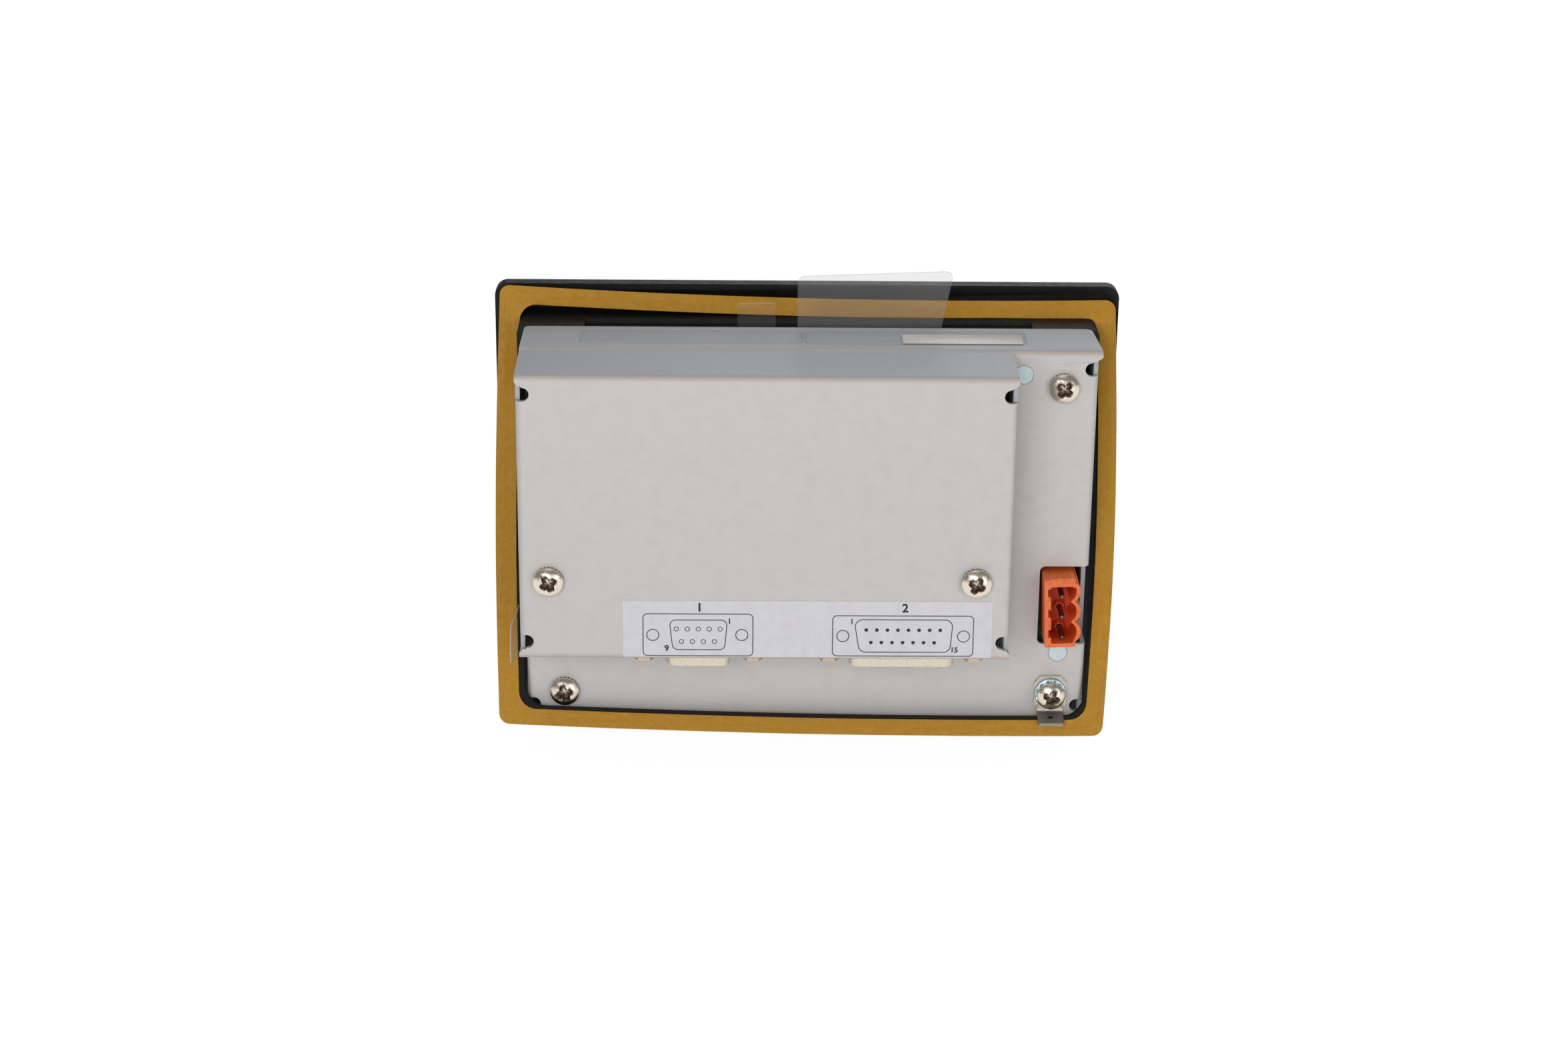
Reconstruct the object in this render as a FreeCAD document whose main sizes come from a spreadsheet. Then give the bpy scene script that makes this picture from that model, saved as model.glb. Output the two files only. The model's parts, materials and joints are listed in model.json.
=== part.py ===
"""HMI touch panel: a small operator terminal for mounting in a cutout of a control cabinet door.

The front (display) faces -Y and the back faces +Y, with +Z up. The origin is the centre of the
bezel's rear seat plane, so y = 0 is the face that meets the door. Lengths are in millimetres.
"""
import FreeCAD, Part
import math
import os
import re
import Sketcher
from FreeCAD import Placement, Rotation, Vector

doc = FreeCAD.newDocument("hmi_touch_panel")
sheet = doc.addObject("Spreadsheet::Sheet", "Sizes")

# ---------------------------------------------------------------- driving dimensions
SIZES = {
    # front moulding
    "bezel_width": 147, "bezel_height": 107, "bezel_depth": 6, "bezel_corner": 3,
    "bezel_bevel": 2.5, "rim_width": 1.85, "rim_recess": 0.8, "face_skin": 2.2,
    "collar_width": 135, "collar_height": 95, "collar_depth": 14.6, "collar_corner": 2,
    "collar_wall": 2.2, "fit_gap": 0.3, "running_gap": 0.35,
    "recess_width": 103.8, "recess_length": 6, "recess_depth": 1.1, "slot_length": 3.4,
    "boss_radius": 3.6, "screw_inset": 8.3, "screw_shift": 0.5, "screw_top_inset": 8.5, "screw_low_inset": 7.9,
    # overlay and windows
    "overlay_width": 138, "overlay_height": 98, "film_thickness": 0.3, "window_lap": 1.2,
    "view_width": 78, "view_height": 40, "view_x": -17, "view_z": 12,
    "insert_width": 34, "insert_x": -14, "led_width": 8.4, "led_x": 12.1,
    "window_z": 43.2, "window_height": 6.5, "legend_width": 104, "legend_height": 9, "legend_x": -4,
    "legend_z": -15,
    # keys
    "key_count": 5, "key_width": 15, "key_height": 11, "key_first_x": -44, "key_pitch": 21,
    "key_z": -33, "command_width": 11, "command_height": 10, "command_x": 41, "command_pitch_x": 15,
    "command_z": 28, "command_pitch_z": 15, "key_proud": 0.9, "key_flange": 1.0,
    "flange_lap": 1.2, "key_travel": 0.4, "dome_radius": 3.2, "dome_height": 0.4,
    # display module
    "sensor_thickness": 1.8, "module_width": 86, "module_height": 46, "module_depth": 7.4,
    "module_sheet": 0.5, "glass_thickness": 2.0, "light_thickness": 3.4, "driver_thickness": 1.2,
    "ear_width": 4.4, "ear_length": 5,
    # boards
    "board_thickness": 1.6, "keypad_board_gap": 2.2, "main_board_rear": 24.9,
    "board_margin": 3, "board_corner_cut": 10.5, "standoff_step": 8.7, "standoff_top_inset": 5.6,
    "standoff_middle": 15, "standoff_side_inset": 6.4, "standoff_rise": 10, "pillar_radius": 2.4,
    "pillar_inset": 4.8, "pillar_low_inset": 2.8, "pillar_middle_x": 8, "pillar_right_z": 15,
    "pillar_step": 7.2, "keypad_margin": 0.5, "ribbon_x": 46, "ribbon_width": 16, "ribbon_z": 20,
    "ribbon_thickness": 0.3,
    # sheet metal covers
    "sheet_thickness": 1.0, "bend_radius": 1.5, "cover_width": 131, "cover_drop": 44.5,
    "cover_depth": 31.9, "notch_radius": 1.6, "notch_depth": 3.1, "notch_end": 4.35,
    "port_left": 45.6, "port_top_step": 0.3, "port_bottom": 20.5,
    "port_depth": 51.0, "post_left_inset": 7.9, "post_right_inset": 6.7, "post_z": 1.2, "post_across": 5.5,
    # screws
    "head_radius": 3.45, "head_height": 2.2, "shank_radius": 1.2, "shank_length": 7,
    "bore_radius": 1.3, "bore_depth": 9, "screw_hole": 1.7, "cross_length": 3.4,
    "cross_width": 0.9, "cross_depth": 1.2, "small_head_radius": 1.9, "small_head_height": 1.2,
    "small_shank_radius": 0.8, "small_bore_radius": 0.9, "small_bore_depth": 1.7,
    # ground terminal
    "lug_thickness": 0.8, "lug_width": 7.6, "lug_top": 4.3, "lug_bottom": 4.6, "tab_length": 5.6, "tab_width": 6.3,
    "tab_angle": 86, "washer_radius": 3.7, "washer_thickness": 0.8,
    # power connector
    "pin_pitch": 5.08, "header_inset": 6.3, "header_z": 15.9, "header_rise": 1.5, "header_width": 8.4,
    "header_height": 16.8, "header_depth": 12.6, "header_wall": 0.9, "header_floor": 3.2,
    "pin_across": 1.0, "pin_inset": 1.4, "header_margin": 0.9, "header_top_margin": 1.2,
    "header_low_margin": 1.6, "header_opening_depth": 8,
    # D-subminiature connectors
    "dsub_inset": 7.5, "dsub_face": 17.6, "dsub_flange": 1.0, "dsub_flange_height": 12.5,
    "nine_x": 25.1, "nine_flange": 30.8, "nine_shell": 16.6, "nine_jack_pitch": 24.99,
    "fifteen_x": -21.5, "fifteen_flange": 39.1, "fifteen_shell": 25.0,
    "fifteen_jack_pitch": 33.32, "shell_height": 8.2, "shell_wall": 0.5, "shell_reach": 5.9,
    "shell_corner": 2.4, "shell_slope": 10, "contact_pitch": 2.76, "contact_row": 2.84,
    "contact_radius": 0.5, "insert_reach": 5.2, "dsub_body_depth": 8.2, "jack_across": 4.8,
    "jack_length": 5.4, "jack_bore": 1.25,
    # interface board, insulator and standoffs
    "insulator_thickness": 0.5, "interface_margin": 1.9, "interface_overhang": 1.7,
    "interface_top": 30, "clinch_radius": 2.15, "clinch_bore": 1.25,
    "link_width": 26, "link_height": 5, "link_x": 8, "link_z": 14, "link_margin": 1.5,
    # legend strips, seal and labels
    "strip_thickness": 0.3, "wide_strip_width": 35.1, "wide_strip_x": -13.75,
    "narrow_strip_width": 8.8, "narrow_strip_x": 12.1, "strip_lean": 36, "strip_out": 20,
    "narrow_strip_out": 8, "strip_in": 10, "strip_setback": 0.6, "side_strip_width": 13,
    "side_strip_z": -22.4, "side_strip_lean": 88, "side_strip_out": 24,
    "side_strip_in": 7.4, "side_slot_length": 8, "strip_slot_gap": 0.6, "strip_pull": 8,
    "seal_play": 0.4, "seal_thickness": 3.0, "seal_corner": 3, "liner_thickness": 0.3,
    "seal_tilt": 18.2, "seal_y": 2.6, "label_thickness": 0.15, "port_label_width": 83.8,
    "port_label_height": 13.8, "port_label_x": 0.3, "port_label_z": -12.8, "rating_label_width": 102, "rating_label_length": 9.8,
    "rating_label_y": 22.2, "sticker_width": 27.6, "sticker_length": 6.6, "sticker_x": -34.8,
}

# ---------------------------------------------------------------- places worked out from them
PLACES = {
    "face": "-bezel_depth",
    "skin": "face_skin - bezel_depth",
    "board_front": "(skin) + keypad_board_gap",
    "key_back": "(skin) + key_flange",
    "collar_inside_x": "collar_width / 2 - collar_wall",
    "collar_inside_z": "collar_height / 2 - collar_wall",
    "cover_inside": "cover_depth - sheet_thickness",
    "port_top": "collar_height / 2 - port_top_step",
    "port_right": "cover_width / 2",
    "port_inside": "port_depth - sheet_thickness",
    "main_board_front": "main_board_rear - board_thickness",
    "interface_front": "cover_depth + insulator_thickness",
    "interface_rear": "(interface_front) + board_thickness",
    "module_back": "(skin) + module_depth",
    "glass_front": "(skin) + module_sheet",
    "light_front": "(glass_front) + glass_thickness",
    "driver_front": "(light_front) + light_thickness",
    "shank_end": "cover_depth - shank_length",
    "lug_face": "cover_depth + lug_thickness",
    "washer_face": "(lug_face) + washer_thickness",
    "seal_hinge_z": "collar_height / 2 + fit_gap",
    "jack_tip": "-dsub_face - jack_length",
    "screw_x": "cover_width / 2 - screw_inset",
    "screw_near": "screw_x - screw_shift",
    "dsub_y": "port_depth - dsub_inset",
    "screw_far": "screw_x + screw_shift",
    "header_middle": "header_rise - header_z",
    "screw_top": "collar_height / 2 - screw_top_inset",
    "screw_low": "screw_low_inset - cover_drop",
    "standoff_x": "screw_x - standoff_step",
    "standoff_top": "collar_height / 2 - standoff_top_inset",
    "standoff_side": "cover_width / 2 - standoff_side_inset",
    "pillar_side": "collar_inside_x - pillar_inset",
    "pillar_low": "pillar_low_inset - collar_inside_z",
    "keypad_edge": "collar_inside_x - 2 * keypad_margin",
    "keypad_high": "collar_inside_z - keypad_margin",
    "board_edge": "cover_width / 2 - board_margin",
    "board_top": "collar_height / 2 - board_margin",
    "board_low": "board_margin - cover_drop",
    "post_left": "post_left_inset - port_left",
    "post_right": "port_right - post_right_inset",
    "header_x": "header_inset - cover_width / 2",
    "interface_left": "interface_margin + sheet_thickness - port_left",
    "interface_right": "post_right - post_across / 2 / cos(30) - fit_gap * 3",
    "interface_low": "interface_overhang - dsub_face",
    "seal_width": "bezel_width - 2 * rim_width - fit_gap / 3",
    "seal_height": "bezel_height - 2 * rim_width - fit_gap / 3",
    "seal_inner_width": "collar_width + 2 * seal_play",
    "seal_inner_height": "collar_height + 2 * fit_gap",
}

for row, (alias, number) in enumerate(SIZES.items(), start=1):
    sheet.set(f"A{row}", alias)
    sheet.set(f"B{row}", str(number))
    sheet.setAlias(f"B{row}", alias)
doc.recompute()

NODES = []


def expression(text):
    """The text as a FreeCAD expression, with places spelt out and sizes read from the sheet."""
    text = str(text)
    places = r"\b(" + "|".join(PLACES) + r")\b"
    while re.search(places, text):
        text = re.sub(places, lambda found: f"({PLACES[found[1]]})", text)
    return re.sub(r"\b(" + "|".join(SIZES) + r")\b", r"Sizes.\1", text)


def bind(feature, texts):
    """Tie each property path of a feature to its expression."""
    for path, text in texts.items():
        feature.setExpression(path, expression(text))


def size(alias):
    """The sheet's number for one size."""
    return float(sheet.get(alias))


def node(name, feature):
    """Name a finished sub-part, which goes to a file of its own."""
    feature.Label = name
    NODES.append(feature)
    return feature


# ---------------------------------------------------------------- building blocks
AXES = {"x": Rotation(Vector(0, 1, 0), 90), "y": Rotation(Vector(1, 0, 0), -90), "z": Rotation()}


def box(name, x, y, z):
    """A block between the (low, high) pairs of texts x, y and z."""
    solid = doc.addObject("Part::Box", name)
    for side, axis, (low, high) in (("Length", "x", x), ("Width", "y", y), ("Height", "z", z)):
        bind(solid, {side: f"({high}) - ({low})", "Placement.Base." + axis: low})
    return solid


def centred_box(name, x, width, y, z, height):
    """A block centred on x and z, between the pair of texts y."""
    return box(name, (f"{x} - ({width}) / 2", f"{x} + ({width}) / 2"), y,
               (f"{z} - ({height}) / 2", f"{z} + ({height}) / 2"))


def rod(name, axis, radius, along, at):
    """A cylinder along an axis between the pair of texts along, at the other two coordinates."""
    solid = doc.addObject("Part::Cylinder", name)
    solid.Placement = Placement(Vector(), AXES[axis])
    bind(solid, {"Radius": radius, "Height": f"({along[1]}) - ({along[0]})"})
    across = [other for other in "xyz" if other != axis]
    for letter, text in zip([axis] + across, [along[0], at[0], at[1]]):
        bind(solid, {"Placement.Base." + letter: text})
    return solid


def hexagon(name, axis, across_flats, along, at):
    """A hexagonal bar along an axis, placed like a rod."""
    solid = doc.addObject("Part::Prism", name)
    solid.Polygon = 6
    solid.Placement = Placement(Vector(), AXES[axis])
    bind(solid, {"Circumradius": f"({across_flats}) / 2 / cos(30)",
                 "Height": f"({along[1]}) - ({along[0]})"})
    across = [other for other in "xyz" if other != axis]
    for letter, text in zip([axis] + across, [along[0], at[0], at[1]]):
        bind(solid, {"Placement.Base." + letter: text})
    return solid


def fused(name, solids):
    """One solid, or one tool, from several overlapping or separate ones."""
    if len(solids) == 1:
        return solids[0]
    joined = doc.addObject("Part::MultiFuse", name)
    joined.Shapes = solids
    return joined


def cut(name, base, tools):
    """The base with the tools taken out of it."""
    result = doc.addObject("Part::Cut", name)
    result.Base = base
    result.Tool = fused(name + "_tools", tools)
    return result


def group(name, solids):
    """Separate solids that share a node."""
    together = doc.addObject("Part::Compound", name)
    together.Links = solids
    return together


def plane_of(body, role):
    """One of a body's own origin planes."""
    return next(plane for plane in body.Origin.OriginFeatures if plane.Role == role)


def rounded_outline(body, name, width, height, corner, y, at):
    """A sketch of a rounded rectangle, upright and facing -Y, with its sizes tied to texts."""
    sketch = body.newObject("Sketcher::SketchObject", name)
    sketch.AttachmentSupport = (plane_of(body, "XZ_Plane"), "")
    sketch.MapMode = "FlatFace"
    w, h, r = 20.0, 16.0, 2.0
    corners = [(w - r, -h + r, -90), (w - r, h - r, 0), (-w + r, h - r, 90), (-w + r, -h + r, 180)]
    ends = [(-w + r, -h), (w - r, -h), (w, -h + r), (w, h - r),
            (w - r, h), (-w + r, h), (-w, h - r), (-w, -h + r)]
    points = [Vector(a, b, 0) for a, b in ends]
    for side in range(4):
        sketch.addGeometry(Part.LineSegment(points[2 * side], points[2 * side + 1]), False)
    for across, up, start in corners:
        circle = Part.Circle(Vector(across, up, 0), Vector(0, 0, 1), r)
        arc = Part.ArcOfCircle(circle, math.radians(start), math.radians(start + 90))
        sketch.addGeometry(arc, False)
    for side in range(4):
        sketch.addConstraint(Sketcher.Constraint("Tangent", side, 2, side + 4, 1))
        sketch.addConstraint(Sketcher.Constraint("Tangent", side + 4, 2, (side + 1) % 4, 1))
    for side, kind in enumerate(("Horizontal", "Vertical", "Horizontal", "Vertical")):
        sketch.addConstraint(Sketcher.Constraint(kind, side))
    for arc in (5, 6, 7):
        sketch.addConstraint(Sketcher.Constraint("Equal", 4, arc))
    sketch.addConstraint(Sketcher.Constraint("Symmetric", 4, 3, 6, 3, -1, 1))
    sizes = (("corner", Sketcher.Constraint("Radius", 4, r), corner),
             ("width", Sketcher.Constraint("DistanceX", 3, 1, 1, 1, 2 * w), width),
             ("height", Sketcher.Constraint("DistanceY", 0, 1, 2, 1, 2 * h), height))
    for label, constraint, text in sizes:
        index = sketch.addConstraint(constraint)
        sketch.renameConstraint(index, label)
        bind(sketch, {"Constraints." + label: text})
    bind(sketch, {"AttachmentOffset.Base.x": at[0], "AttachmentOffset.Base.y": at[1],
                  "AttachmentOffset.Base.z": f"-({y})"})
    return sketch


def rounded_pad(body, name, width, height, corner, y, at=("0", "0")):
    """Add a rounded slab between the pair of texts y to a body."""
    sketch = rounded_outline(body, name + "_outline", width, height, corner, y[0], at)
    pad = body.newObject("PartDesign::Pad", name)
    pad.Profile = sketch
    pad.Reversed = True
    bind(pad, {"Length": f"({y[1]}) - ({y[0]})"})
    doc.recompute()
    return pad


def rounded_pocket(body, name, width, height, corner, y, at=("0", "0")):
    """Take a rounded slab between the pair of texts y out of a body."""
    sketch = rounded_outline(body, name + "_outline", width, height, corner, y[0], at)
    before = body.Shape.Volume
    pocket = body.newObject("PartDesign::Pocket", name)
    pocket.Profile = sketch
    bind(pocket, {"Length": f"({y[1]}) - ({y[0]})"})
    doc.recompute()
    if body.Shape.Volume > before - 0.01:
        raise ValueError(name + " takes nothing away")
    return pocket


def rounded_plate(name, width, height, corner, y, at=("0", "0")):
    """A body that is one rounded slab."""
    body = doc.addObject("PartDesign::Body", name)
    rounded_pad(body, name + "_slab", width, height, corner, y, at)
    return body


def face_edges(shape, keep):
    """The names of the edges whose middle passes the test keep."""
    names = []
    for index, edge in enumerate(shape.Edges, start=1):
        middle = edge.valueAt((edge.FirstParameter + edge.LastParameter) / 2)
        if keep(middle):
            names.append(f"Edge{index}")
    return names


# ---------------------------------------------------------------- repeated places
FUNCTION_KEYS = [(f"key_first_x + {i} * key_pitch", "key_z") for i in range(int(size("key_count")))]
COMMAND_KEYS = [(f"command_x + {i} * command_pitch_x", f"command_z - {j} * command_pitch_z")
                for j in range(3) for i in range(2)]
LED_PLACES = [(f"led_x + {i} * led_width / 3", "window_z") for i in (-1, 0, 1)]
COVER_SCREWS = [("-screw_far", "screw_top"), ("screw_near", "screw_top"), ("screw_near", "screw_low")]
GROUND_PLACE = ("-screw_far", "screw_low")
POSTS = [("post_left", "-post_z"), ("post_right", "-post_z")]
STANDOFFS = [("-standoff_x", "standoff_top"), ("standoff_x", "standoff_top"),
             ("-standoff_side", "screw_low + standoff_rise"), ("standoff_x", "-standoff_middle")]
MODULE_EARS = [(f"view_x + {side} * (module_width + ear_width) / 2", f"view_z + {up} * module_height / 3")
               for side in (-1, 1) for up in (-1, 1)]
KEYPAD_SCREWS = [("-pillar_side", "pillar_low"), ("pillar_middle_x", "pillar_low"),
                 ("pillar_side", "pillar_low"), ("pillar_side", "-pillar_right_z"),
                 ("screw_x - pillar_step", "-pillar_low")]


# ---------------------------------------------------------------- front moulding
def front_housing():
    """Bezel, collar and screw bosses, one black moulding open to the back."""
    body = doc.addObject("PartDesign::Body", "front_housing_shell")
    rounded_pad(body, "bezel", "bezel_width", "bezel_height", "bezel_corner", ("face", "0"))
    slab = body.Tip
    front = -size("bezel_depth")
    edges = face_edges(slab.Shape, lambda middle: abs(middle.y - front) < 1e-6)
    chamfer = body.newObject("PartDesign::Chamfer", "bevel")
    chamfer.Base = (slab, edges)
    bind(chamfer, {"Size": "bezel_bevel"})
    body.Tip = chamfer
    doc.recompute()
    rounded_pocket(body, "seal_recess", "bezel_width - 2 * rim_width",
                   "bezel_height - 2 * rim_width", "bezel_corner - rim_width / 2",
                   ("-rim_recess", "0"))
    rounded_pad(body, "collar", "collar_width", "collar_height", "collar_corner",
                ("skin", "collar_depth"))
    rounded_pocket(body, "inside", "2 * collar_inside_x", "2 * collar_inside_z",
                   "collar_corner / 2", ("skin", "collar_depth"))
    bosses = [rod(f"boss_{i}", "y", "boss_radius", ("skin - face_skin / 2", "cover_inside"), at)
              for i, at in enumerate(COVER_SCREWS + [GROUND_PLACE])]
    pillars = [rod(f"pillar_{i}", "y", "pillar_radius", ("skin - face_skin / 2", "board_front"), at)
               for i, at in enumerate(KEYPAD_SCREWS)]
    solid = fused("front_housing_solid", [body] + bosses + pillars)
    tools = [rod(f"boss_bore_{i}", "y", "bore_radius", ("cover_inside - bore_depth", "cover_inside"), at)
             for i, at in enumerate(COVER_SCREWS + [GROUND_PLACE])]
    tools += [rod(f"small_bore_{i}", "y", "small_bore_radius",
                  ("board_front - 3", "board_front"), at) for i, at in enumerate(KEYPAD_SCREWS)]
    tools += [rod(f"ear_bore_{i}", "y", "small_bore_radius", ("skin - small_bore_depth", "skin"), at)
              for i, at in enumerate(MODULE_EARS)]
    tools += [rod(f"led_hole_{i}", "y", "1.5", ("face", "skin"), at)
              for i, at in enumerate(LED_PLACES)]
    tools.append(centred_box("view_opening", "view_x", "view_width + 2 * fit_gap", ("face", "skin"),
                             "view_z", "view_height + 2 * fit_gap"))
    tools += key_openings("housing", ("face", "skin"))
    tools.append(box("strip_recess", ("-recess_width / 2", "recess_width / 2"),
                     ("collar_depth - recess_length", "collar_depth"),
                     ("collar_height / 2 - recess_depth", "collar_height / 2 + 1")))
    for name, x, width in (("wide", "wide_strip_x", "wide_strip_width"),
                           ("narrow", "narrow_strip_x", "narrow_strip_width")):
        tools.append(centred_box(name + "_slot", x, f"{width} + 2 * strip_slot_gap",
                                 ("collar_depth - slot_length", "collar_depth"),
                                 "collar_height / 2", "2 * collar_wall + 1"))
    tools.append(centred_box("side_slot", "collar_width / 2", "2 * collar_wall + 1",
                             ("collar_depth - side_slot_length", "collar_depth"),
                             "side_strip_z", "side_strip_width + 2 * strip_slot_gap"))
    return node("front_housing", cut("front_housing", solid, tools))


def key_openings(name, y):
    """The openings that the keys stand in, between the pair of texts y."""
    tools = [centred_box(f"{name}_key_opening_{i}", x, "key_width + 2 * running_gap", y, z,
                         "key_height + 2 * running_gap") for i, (x, z) in enumerate(FUNCTION_KEYS)]
    return tools + [centred_box(f"{name}_command_opening_{i}", x, "command_width + 2 * running_gap",
                                y, z, "command_height + 2 * running_gap")
                    for i, (x, z) in enumerate(COMMAND_KEYS)]


WINDOWS = (("insert", "insert_x", "insert_width", "window_z", "window_height"),
           ("led", "led_x", "led_width", "window_z", "window_height"),
           ("legend", "legend_x", "legend_width", "legend_z", "legend_height"))


def overlay_and_windows():
    """The printed film on the front, with clear windows let into it."""
    y = ("face - film_thickness", "face")
    sheet_body = rounded_plate("overlay_film", "overlay_width", "overlay_height",
                               "bezel_corner", y)
    tools = key_openings("overlay", y)
    tools.append(centred_box("overlay_view", "view_x", "view_width - 2 * window_lap", y,
                             "view_z", "view_height - 2 * window_lap"))
    tools += [centred_box(f"overlay_{name}", x, width, y, z, height)
              for name, x, width, z, height in WINDOWS]
    node("keypad_overlay", cut("keypad_overlay", sheet_body, tools))
    panes = [centred_box(f"{name}_pane", x, f"{width} - 0.1", y, z, f"{height} - 0.1")
             for name, x, width, z, height in WINDOWS]
    node("legend_windows", group("legend_windows", panes))


# ---------------------------------------------------------------- keys and keypad board
def key(name, at, width, height):
    """A key cap with a retaining flange behind the front and a plunger over its dome."""
    cap = rounded_plate(name + "_cap", width, height, "1.5",
                        ("face - film_thickness - key_proud", "key_back"), at)
    flange = centred_box(name + "_flange", at[0], f"{width} + 2 * flange_lap", ("skin", "key_back"),
                         at[1], f"{height} + 2 * flange_lap")
    plunger = rod(name + "_plunger", "y", "1.8",
                  ("key_back - key_flange / 2", "board_front - dome_height - key_travel - 0.1"), at)
    return node(name, fused(name, [cap, flange, plunger]))


def keypad():
    """The keys, the domes under them and the board that carries the domes and lamps."""
    for i, at in enumerate(FUNCTION_KEYS, start=1):
        key(f"function_key_{i}", at, "key_width", "key_height")
    for i, at in enumerate(COMMAND_KEYS, start=1):
        key(f"command_key_{i}", at, "command_width", "command_height")
    domes = [rod(f"dome_{i}", "y", "dome_radius", ("board_front - dome_height", "board_front"), at)
             for i, at in enumerate(FUNCTION_KEYS + COMMAND_KEYS)]
    node("snap_domes", group("snap_domes", domes))
    y = ("board_front", "board_front + board_thickness")
    bottom_strip = box("keypad_strip", ("-keypad_edge", "keypad_edge"), y,
                       ("-keypad_high", "key_z + key_height"))
    column = box("keypad_column", ("command_x - 10", "keypad_edge"), y, ("key_z", "keypad_high"))
    tongue = box("keypad_tongue", ("led_x - led_width", "command_x"), y,
                 ("window_z - window_height / 4", "keypad_high"))
    board = fused("keypad_board_blank", [bottom_strip, column, tongue])
    holes = [rod(f"keypad_hole_{i}", "y", "small_bore_radius", y, at)
             for i, at in enumerate(KEYPAD_SCREWS)]
    holes += [rod(f"keypad_boss_hole_{i}", "y", "boss_radius + fit_gap", y, at)
              for i, at in enumerate(COVER_SCREWS + [GROUND_PLACE])]
    node("keypad_board", cut("keypad_board", board, holes))
    lamps = [rod(f"lamp_{i}", "y", "1.2", ("face + 0.8", "board_front"), at)
             for i, at in enumerate(LED_PLACES)]
    node("status_leds", group("status_leds", lamps))
    node("keypad_ribbon", centred_box("keypad_ribbon", "ribbon_x", "ribbon_width",
                                      ("board_front + board_thickness", "main_board_front"),
                                      "-ribbon_z", "ribbon_thickness"))


# ---------------------------------------------------------------- display module
def display():
    """Touch sensor in the front opening, and the framed display behind it."""
    node("touch_sensor", centred_box("touch_sensor", "view_x", "view_width",
                                     ("skin - sensor_thickness - 0.4", "skin"), "view_z", "view_height"))
    y = ("skin", "module_back")
    shell = centred_box("module_block", "view_x", "module_width", y, "view_z", "module_height")
    ears = [centred_box(f"module_ear_{i}", x, "ear_width + 1", ("skin", "skin + module_sheet"), z,
                        "ear_length") for i, (x, z) in enumerate(MODULE_EARS)]
    inside = centred_box("module_inside", "view_x", "module_width - 2 * module_sheet",
                         ("glass_front", "module_back"), "view_z", "module_height - 2 * module_sheet")
    window = centred_box("module_window", "view_x", "view_width - 1", ("skin", "glass_front"), "view_z",
                         "view_height - 1")
    holes = [rod(f"module_ear_hole_{i}", "y", "small_bore_radius", ("skin", "skin + module_sheet"), at)
             for i, at in enumerate(MODULE_EARS)]
    node("lcd_frame", cut("lcd_frame", fused("lcd_frame_solid", [shell] + ears),
                          [inside, window] + holes))
    layers = (("lcd_glass", "glass_front", "light_front"),
              ("lcd_backlight", "light_front", "driver_front"),
              ("lcd_board", "driver_front", "driver_front + driver_thickness"))
    for name, front, back in layers:
        node(name, centred_box(name, "view_x", "module_width - 2 * module_sheet - 0.2", (front, back),
                               "view_z", "module_height - 2 * module_sheet - 0.2"))


# ---------------------------------------------------------------- screws
def screw(name, at, seat, head, shank, length, cross=True):
    """A screw along Y with its head behind the text seat: head and shank are radius texts."""
    radius, height = head
    cap = rod(name + "_head", "y", radius, (seat, f"{seat} + {height}"), at)
    stem = rod(name + "_shank", "y", shank, (f"{seat} - ({length})", f"{seat} + {height} / 2"), at)
    whole = fused(name + "_solid", [cap, stem])
    if not cross:
        return whole
    back = (f"{seat} + {height} - cross_depth", f"{seat} + {height}")
    bars = [centred_box(name + "_bar_x", at[0], "cross_length", back, at[1], "cross_width"),
            centred_box(name + "_bar_z", at[0], "cross_width", back, at[1], "cross_length")]
    return cut(name, whole, bars)


def screws():
    """Every screw of the case and of the boards."""
    large = ("head_radius", "head_height")
    small = ("small_head_radius", "small_head_height")
    node("base_cover_screws", group("base_cover_screws", [
        screw(f"base_cover_screw_{i}", at, "cover_depth", large, "shank_radius", "shank_length")
        for i, at in enumerate(COVER_SCREWS)]))
    node("port_cover_screws", group("port_cover_screws", [
        screw(f"port_cover_screw_{i}", at, "port_depth", large, "shank_radius", "shank_length")
        for i, at in enumerate(POSTS)]))
    node("ground_screw", screw("ground_screw", GROUND_PLACE, "washer_face", large,
                               "shank_radius", "shank_length"))
    pads = [screw(f"keypad_screw_{i}", at, "board_front + board_thickness", small,
                  "small_shank_radius", "board_thickness + 2.6", False)
            for i, at in enumerate(KEYPAD_SCREWS)]
    pads += [screw(f"module_screw_{i}", at, "skin + module_sheet", small, "small_shank_radius",
                   "module_sheet + small_bore_depth - 0.2", False)
             for i, at in enumerate(MODULE_EARS)]
    node("front_board_screws", group("front_board_screws", pads))
    heads = [rod(f"board_screw_head_{i}", "y", "2.6", ("main_board_front - 1.8", "main_board_front"), at)
             for i, at in enumerate(STANDOFFS)]
    stems = [rod(f"board_screw_stem_{i}", "y", "shank_radius - 0.05",
                 ("main_board_front - 1", "main_board_rear + 3.5"), at)
             for i, at in enumerate(STANDOFFS)]
    node("main_board_screws", group("main_board_screws", [
        fused(f"board_screw_{i}", list(pair)) for i, pair in enumerate(zip(heads, stems))]))


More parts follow.
